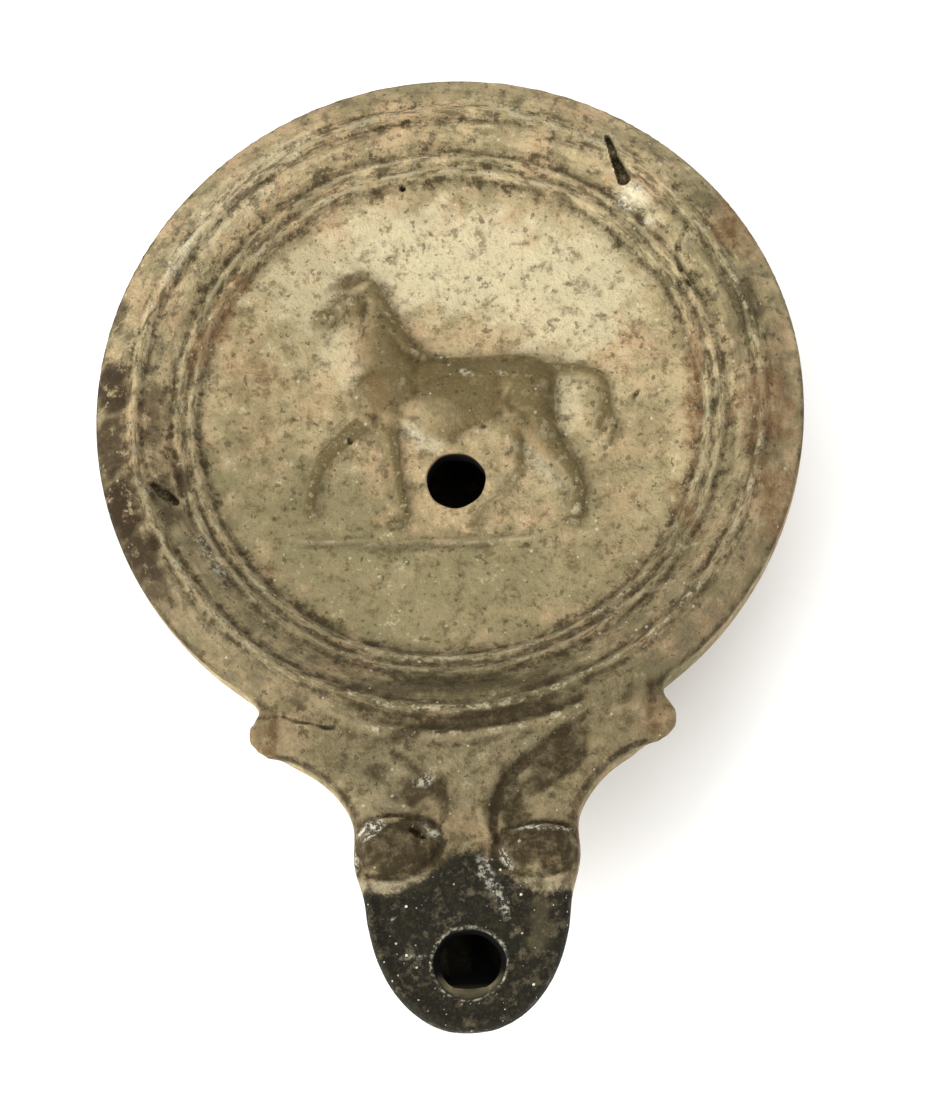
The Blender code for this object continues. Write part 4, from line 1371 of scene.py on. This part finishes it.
    def write(self, mesh: bpy.types.Mesh, points: Array, outside: int) -> None:
        """Keeps each mask on the mesh as a point attribute.

        Args:
            mesh: The lamp's mesh.
            points: Its points, in millimetres.
            outside: How many of them, from the first on, lie outside.
        """
        inner = np.where(np.arange(len(points)) < outside, 0.0, 1.0)
        for mask, values in self.masks(*points.T, inner).items():
            attribute = mesh.attributes.new(mask.value, "FLOAT", "POINT")
            attribute.data.foreach_set("value", np.asarray(values, np.float32))


def tone(red: int, green: int, blue: int) -> Colour:
    """A colour as a painter's chart gives it, from 0 to 255, in the linear values that a shader takes."""
    def linear(part: int) -> float:
        """One part of the colour."""
        share = part / 255
        return share / 12.92 if share <= 0.04045 else ((share + 0.055) / 1.055) ** 2.4

    return linear(red), linear(green), linear(blue), 1.0


class Graph:
    """Adds nodes to one material's or group's tree and joins them."""

    def __init__(self, tree: bpy.types.NodeTree) -> None:
        """Keeps the tree that nodes go to."""
        self.tree = tree

    def node(
        self, kind: str, inputs: dict[str | int, object] | None = None, **settings: object
    ) -> bpy.types.Node:
        """Adds a node.

        Args:
            kind: Its type, without the leading words that all shader nodes share.
            inputs: For its sockets, by name or number, either another socket or a value.
            **settings: Its own properties.

        Returns:
            The node.
        """
        node = self.tree.nodes.new("ShaderNode" + kind)
        for name, value in settings.items():
            setattr(node, name, value)
        for name, value in (inputs or {}).items():
            if isinstance(value, Socket):
                self.tree.links.new(value, node.inputs[name])
            else:
                node.inputs[name].default_value = value
        return node

    def plus(self, first: object, second: object) -> Socket:
        """The sum of two numbers, kept from 0 to 1."""
        return self.node("Math", {0: first, 1: second}, operation="ADD", use_clamp=True).outputs[0]

    def times(self, first: object, second: object) -> Socket:
        """The product of two numbers, kept from 0 to 1."""
        return self.node("Math", {0: first, 1: second}, operation="MULTIPLY", use_clamp=True).outputs[0]

    def ring_streaks(self, place: object) -> Socket:
        """Noise drawn out along circles round the lamp's axis: fine across them, long along them."""
        apart = self.node("SeparateXYZ", {0: place})
        flat = self.node("CombineXYZ", {0: apart.outputs[0], 1: apart.outputs[1]}).outputs[0]
        radius = self.node("VectorMath", {0: flat}, operation="LENGTH").outputs["Value"]
        way = self.node("VectorMath", {0: flat}, operation="NORMALIZE").outputs[0]
        way = self.node("VectorMath", {0: way, "Scale": 11.0}, operation="SCALE").outputs[0]
        across = self.node("Math", {0: radius, 1: 1.5}, operation="MULTIPLY").outputs[0]
        lift = self.node("CombineXYZ", {2: across}).outputs[0]
        return self.noise(self.node("VectorMath", {0: way, 1: lift}).outputs[0], 1.0, 4.0, 0.7)

    def step(
        self, value: object, low: float, high: float, least: float = 0.0, most: float = 1.0
    ) -> Socket:
        """Goes softly from least to most as a value goes from low to high."""
        inputs = {"Value": value, "From Min": low, "From Max": high, "To Min": least, "To Max": most}
        return self.node("MapRange", inputs, interpolation_type="SMOOTHSTEP").outputs["Result"]

    def mix(self, share: object, first: object, second: object, blend: str = "MIX") -> Socket:
        """Mixes two colours."""
        inputs = {0: share, 6: first, 7: second}
        return self.node("Mix", inputs, data_type="RGBA", blend_type=blend).outputs[2]

    def noise(self, place: object, size: float, detail: float = 3.0, roughness: float = 0.5) -> Socket:
        """Cloudy noise with hills about a given number of millimetres apart."""
        inputs = {"Vector": place, "Scale": 1 / size, "Detail": detail, "Roughness": roughness}
        return self.node("TexNoise", inputs).outputs[0]

    def specks(self, place: object, spacing: float, radius: float, share: float) -> Socket:
        """Small round spots, in a share of the cells of an uneven grid."""
        cells = self.node("TexVoronoi", {"Vector": place, "Scale": 1 / spacing, "Randomness": 1.0})
        apart = self.node("SeparateColor", {"Color": cells.outputs["Color"]})
        picked = self.step(apart.outputs[0], 1 - share - 0.02, 1 - share + 0.02)
        size = self.step(apart.outputs[1], 0.0, 1.0, 0.4 * radius / spacing, radius / spacing)
        edge = self.node("Math", {0: cells.outputs["Distance"], 1: size}, operation="LESS_THAN").outputs[0]
        return self.times(picked, edge)

    def mask(self, mask: Mask) -> Socket:
        """One of the lamp's painted masks."""
        return self.node("Attribute", attribute_name=mask.value, attribute_type="GEOMETRY").outputs["Fac"]


@dataclass(frozen=True)
class ClayFinish:
    """Worn buff clay with grime in its recesses, dark slip, rusty stains, soot on the wick pad, and painted
    light and shade.
    """

    buff: Colour = tone(159, 143, 108)
    olive: Colour = tone(119, 110, 79)
    rose: Colour = tone(162, 137, 104)
    cream: Colour = tone(187, 176, 143)
    chalk: Colour = tone(204, 199, 178)
    brown: Colour = tone(88, 70, 42)
    # Grime in the recesses and along the rings, and the colour of the painted shade and of the scroll discs.
    dirt_and_shade: Colour = tone(52, 43, 26)
    shadow: Colour = tone(82, 70, 41)
    slip: Colour = tone(48, 37, 23)
    rust: Colour = tone(110, 77, 49)
    soot: Colour = tone(19, 18, 13)
    moss: Colour = tone(59, 54, 35)
    inner: Colour = tone(136, 126, 96)
    # Painted shade inside the holes, and soot.
    shade_and_soot_black: Colour = tone(3, 3, 2)
    roughness_depth: float = 0.0003
    sheen: float = 0.14

    def mottled(self, graph: Graph, place: Socket, small: object, fine: object) -> Socket:
        """The bare clay: buff with pinkish and olive clouds, lighter and greyer areas that are partly
        painted light and painted shade, and a fine grain.
        """
        broad = graph.noise(place, 11.0, 3.0, 0.65)
        middle = graph.noise(place, 4.2, 5.0, 0.7)
        colour = graph.mix(graph.step(broad, 0.42, 0.6, 0.0, 0.8), self.buff, self.rose)
        colour = graph.mix(graph.step(middle, 0.42, 0.6, 0.0, 0.7), colour, self.olive)
        # Painted light, with paler clay in places.
        colour = graph.mix(graph.mask(Mask.LIT_AND_PALE), colour, self.cream)
        # Painted shade on the discus's lower half, and greyer clay elsewhere.
        grey = graph.times(graph.mask(Mask.GREY_AND_SHADE), graph.step(middle, 0.32, 0.56, 0.75, 1.0))
        colour = graph.mix(grey, colour, self.olive)
        colour = graph.mix(graph.step(small, 0.5, 0.68, 0.0, 0.55), colour, self.brown)
        colour = graph.mix(graph.step(small, 0.42, 0.3, 0.0, 0.5), colour, self.cream)
        return graph.mix(graph.step(fine, 0.55, 0.72, 0.0, 0.5), colour, self.brown)

    def soiled(self, graph: Graph, colour: object, small: object, streaks: object) -> Socket:
        """Grime in the recesses, worn crests, broken streaks along the rings, painted shade and grime on the
        horse, and painted shade in the nozzle's hollows and on the discus's lower part, with grime on the
        scroll discs.
        """
        rings = graph.mask(Mask.RINGS)
        colour = graph.mix(graph.times(rings, graph.step(streaks, 0.48, 0.6, 0.0, 0.7)), colour, self.dirt_and_shade)
        colour = graph.mix(graph.times(rings, graph.step(streaks, 0.44, 0.34, 0.0, 0.5)), colour, self.cream)
        specked = graph.times(graph.step(rings, 0.0, 0.3), graph.step(small, 0.51, 0.62, 0.0, 0.55))
        colour = graph.mix(specked, colour, self.dirt_and_shade)
        # Painted shade and grime on the horse.
        figure = graph.times(graph.mask(Mask.HORSE_SHADE_AND_DIRT), graph.step(small, 0.3, 0.56, 0.78, 1.0))
        colour = graph.mix(figure, colour, self.shadow)
        # Painted shade, and grime on the scroll discs.
        shade = graph.times(graph.mask(Mask.SHADE_AND_DIRT), graph.step(small, 0.36, 0.56, 0.8, 1.0))
        colour = graph.mix(shade, colour, self.dirt_and_shade)
        worn = graph.times(graph.mask(Mask.CREST), graph.step(small, 0.5, 0.62, 0.0, 0.7))
        colour = graph.mix(worn, colour, self.cream)
        stain = graph.times(graph.mask(Mask.RECESS), graph.step(small, 0.32, 0.58, 0.3, 0.95))
        return graph.mix(stain, colour, self.dirt_and_shade)

    def sooted(self, graph: Graph, colour: object, small: object, fine: object) -> Socket:
        """Soot on the wick pad, thinner and olive at one side."""
        ragged = graph.step(small, 0.35, 0.65, -0.32, 0.32)
        soot = graph.step(graph.plus(graph.mask(Mask.SOOT), ragged), 0.0, 1.0)
        sooty = graph.mix(graph.step(small, 0.5, 0.66, 0.0, 0.45), self.soot, self.moss)
        sooty = graph.mix(graph.step(fine, 0.55, 0.68, 0.0, 0.4), sooty, self.moss)
        thin = graph.times(graph.mask(Mask.OLIVE), graph.step(small, 0.36, 0.6, 0.1, 0.42))
        sooty = graph.mix(thin, sooty, self.olive)
        return graph.mix(graph.times(soot, 0.985), colour, sooty)

    def crusted(self, graph: Graph, colour: object, place: Socket, aside: Socket, fine: object) -> Socket:
        """Pale crusts in patches, some of them painted highlights, and grains and ash that show on the soot.
        """
        soot = graph.mask(Mask.SOOT)
        pale = graph.times(graph.mask(Mask.PALE), graph.step(fine, 0.46, 0.6, 0.05, 1.0))
        colour = graph.mix(pale, colour, self.chalk)
        grains = graph.times(graph.specks(aside, 1.1, 0.2, 0.2), graph.step(soot, 0.0, 1.0, 0.3, 0.8))
        colour = graph.mix(grains, colour, self.chalk)
        ash = graph.times(graph.specks(place, 0.75, 0.14, 0.3), soot)
        return graph.mix(graph.times(ash, 0.55), colour, self.chalk)

    def build(self) -> bpy.types.Material:
        """Makes the material."""
        material = bpy.data.materials.new("worn_clay")
        material.use_nodes = True
        graph = Graph(material.node_tree)
        shader = material.node_tree.nodes["Principled BSDF"]
        place = graph.node("TexCoord").outputs["Object"]
        place = graph.node("VectorMath", {0: place, "Scale": 1 / MM}, operation="SCALE").outputs[0]
        aside = graph.node("VectorMath", {0: place, 1: (3.1, 7.7, 1.3)}).outputs[0]
        small = graph.noise(place, 1.7, 5.0, 0.75)
        fine = graph.noise(aside, 0.6, 3.0, 0.7)
        streaks = graph.ring_streaks(place)
        colour = self.soiled(graph, self.mottled(graph, place, small, fine), small, streaks)
        rusty = graph.times(graph.mask(Mask.RUST), graph.step(small, 0.38, 0.6, 0.2, 0.85))
        colour = graph.mix(rusty, colour, self.rust)
        flecks = graph.step(graph.noise(aside, 1.0, 2.0, 0.5), 0.66, 0.7)
        pits = graph.specks(place, 2.1, 0.28, 0.18)
        colour = graph.mix(graph.times(graph.plus(flecks, pits), 0.5), colour, self.dirt_and_shade)
        slip = graph.times(graph.mask(Mask.SLIP), graph.step(small, 0.34, 0.47, 0.3, 1.0))
        colour = graph.mix(slip, colour, self.slip)
        colour = self.sooted(graph, colour, small, fine)
        colour = self.crusted(graph, colour, place, aside, fine)
        colour = graph.mix(graph.mask(Mask.INSIDE), colour, self.inner)
        # Painted shade and soot inside the holes.
        colour = graph.mix(graph.mask(Mask.HOLE_SHADE_AND_SOOT), colour, self.shade_and_soot_black)
        graph.tree.links.new(colour, shader.inputs["Base Color"])
        graph.tree.links.new(graph.step(small, 0.3, 0.7, 0.8, 1.0), shader.inputs["Roughness"])
        lines = graph.times(graph.mask(Mask.RINGS), streaks)
        height = fine
        for part, share in ((small, 0.9), (pits, -0.6), (flecks, -0.4), (lines, -0.9)):
            height = graph.node("Math", {0: part, 1: share, 2: height}, operation="MULTIPLY_ADD").outputs[0]
        bump = graph.node("Bump", {"Strength": 1.0, "Distance": self.roughness_depth, "Height": height})
        graph.tree.links.new(bump.outputs[0], shader.inputs["Normal"])
        shader.inputs["Specular IOR Level"].default_value = self.sheen
        return material


@dataclass(frozen=True)
class FloorFinish:
    """Plain white studio paper with a faint grain."""

    paper: Colour = (0.93, 0.93, 0.925, 1.0)
    fibre: Colour = (0.96, 0.96, 0.955, 1.0)

    def build(self) -> bpy.types.Material:
        """Makes the material."""
        material = bpy.data.materials.new("white_paper")
        material.use_nodes = True
        graph = Graph(material.node_tree)
        shader = material.node_tree.nodes["Principled BSDF"]
        place = graph.node("TexCoord").outputs["Object"]
        grain = graph.noise(place, 0.004, 2.0)
        colour = graph.mix(graph.step(grain, 0.3, 0.7, 0.0, 0.25), self.paper, self.fibre)
        graph.tree.links.new(colour, shader.inputs["Base Color"])
        shader.inputs["Roughness"].default_value = 0.9
        return material


@dataclass
class Studio:
    """The pale floor, the soft lights and the camera.

    Attributes:
        azimuth: Degrees that the camera stands round the lamp from -Y towards +X.
        elevation: Degrees that it stands above the floor.
        roll: Degrees that it is turned about its own line of sight.
        distance: How far it stands from what it looks at.
        frame_height: Height of what the picture shows there.
        aim: How many pixels of the photo its middle lies to the right of the axis, and below it.
        aim_height: The height on the axis that those pixels are counted from.
        pixel: Millimetres to one pixel of the photo.
        lights: Each light's name, place and size in metres, and power.
    """

    azimuth: float = 9.72
    elevation: float = 71.0
    roll: float = 11.84
    distance: float = 1600.0
    frame_height: float = 127.1
    aim: Pair = (23.6, 136.2)
    aim_height: float = 24.2
    pixel: float = 0.11602
    lights: tuple[tuple[str, tuple[float, float, float], float, float], ...] = (
        ("key", (-0.62, -0.56, 0.42), 0.55, 11.2),
        ("fill", (0.2, 0.5, 1.0), 1.2, 8.0),
    )

    def axes(self) -> tuple[Vector, Vector, Vector]:
        """The camera's right, up and back directions."""
        turn, rise, roll = (math.radians(angle) for angle in (self.azimuth, self.elevation, self.roll))
        back = Vector((math.sin(turn) * math.cos(rise), -math.cos(turn) * math.cos(rise), math.sin(rise)))
        level = Vector((math.cos(turn), math.sin(turn), 0))
        upright = back.cross(level)
        right = level * math.cos(roll) - upright * math.sin(roll)
        up = level * math.sin(roll) + upright * math.cos(roll)
        return right, up, back

    def add_camera(self) -> None:
        """Looks down on the lamp from the nozzle's side with a long lens."""
        right, up, back = self.axes()
        target = Vector((0, 0, self.aim_height)) + (right * self.aim[0] - up * self.aim[1]) * self.pixel
        data = bpy.data.cameras.new("camera")
        data.sensor_fit = "VERTICAL"
        data.sensor_height = 36.0
        data.lens = 36.0 * self.distance / self.frame_height
        data.clip_start, data.clip_end = 0.01, 20.0
        camera = bpy.data.objects.new("camera", data)
        turn = Matrix((right, up, back)).transposed().to_4x4()
        camera.matrix_world = Matrix.Translation((target + back * self.distance) * MM) @ turn
        bpy.context.scene.collection.objects.link(camera)
        bpy.context.scene.camera = camera

    def add_light(self, name: str, place: Vector, size: float, power: float) -> None:
        """A square soft light that faces the lamp."""
        data = bpy.data.lights.new(name, "AREA")
        data.shape = "SQUARE"
        data.size, data.energy = size, power
        light = bpy.data.objects.new(name, data)
        light.location = place
        light.rotation_euler = (Vector((0, -0.01, 0.02)) - place).to_track_quat("-Z", "Y").to_euler()
        bpy.context.scene.collection.objects.link(light)

    def build(self) -> None:
        """Sets up the floor, lights, sky and camera."""
        bm = bmesh.new()
        bmesh.ops.create_grid(bm, x_segments=8, y_segments=8, size=3.0)
        floor = add_piece("floor", bm, bpy.context.scene.collection)
        floor.data.materials.append(FloorFinish().build())
        for name, place, size, power in self.lights:
            self.add_light(name, Vector(place), size, power)
        world = bpy.data.worlds.new("studio")
        world.use_nodes = True
        world.node_tree.nodes["Background"].inputs["Color"].default_value = (1, 1, 1, 1)
        world.node_tree.nodes["Background"].inputs["Strength"].default_value = 1.0
        bpy.context.scene.world = world
        bpy.context.scene.view_settings.view_transform = "Standard"
        self.add_camera()


def main() -> None:
    """Builds the lamp and the studio."""
    logging.basicConfig(level=logging.INFO, format="%(name)s: %(message)s")
    body = LampBody()
    lamp = body.build()
    lamp.data.materials.append(ClayFinish().build())
    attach(lamp, "root")
    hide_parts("lamp")
    LOG.info("%s: %d faces", lamp.name, len(lamp.data.polygons))
    Studio().build()


if __name__ == "__main__":
    main()
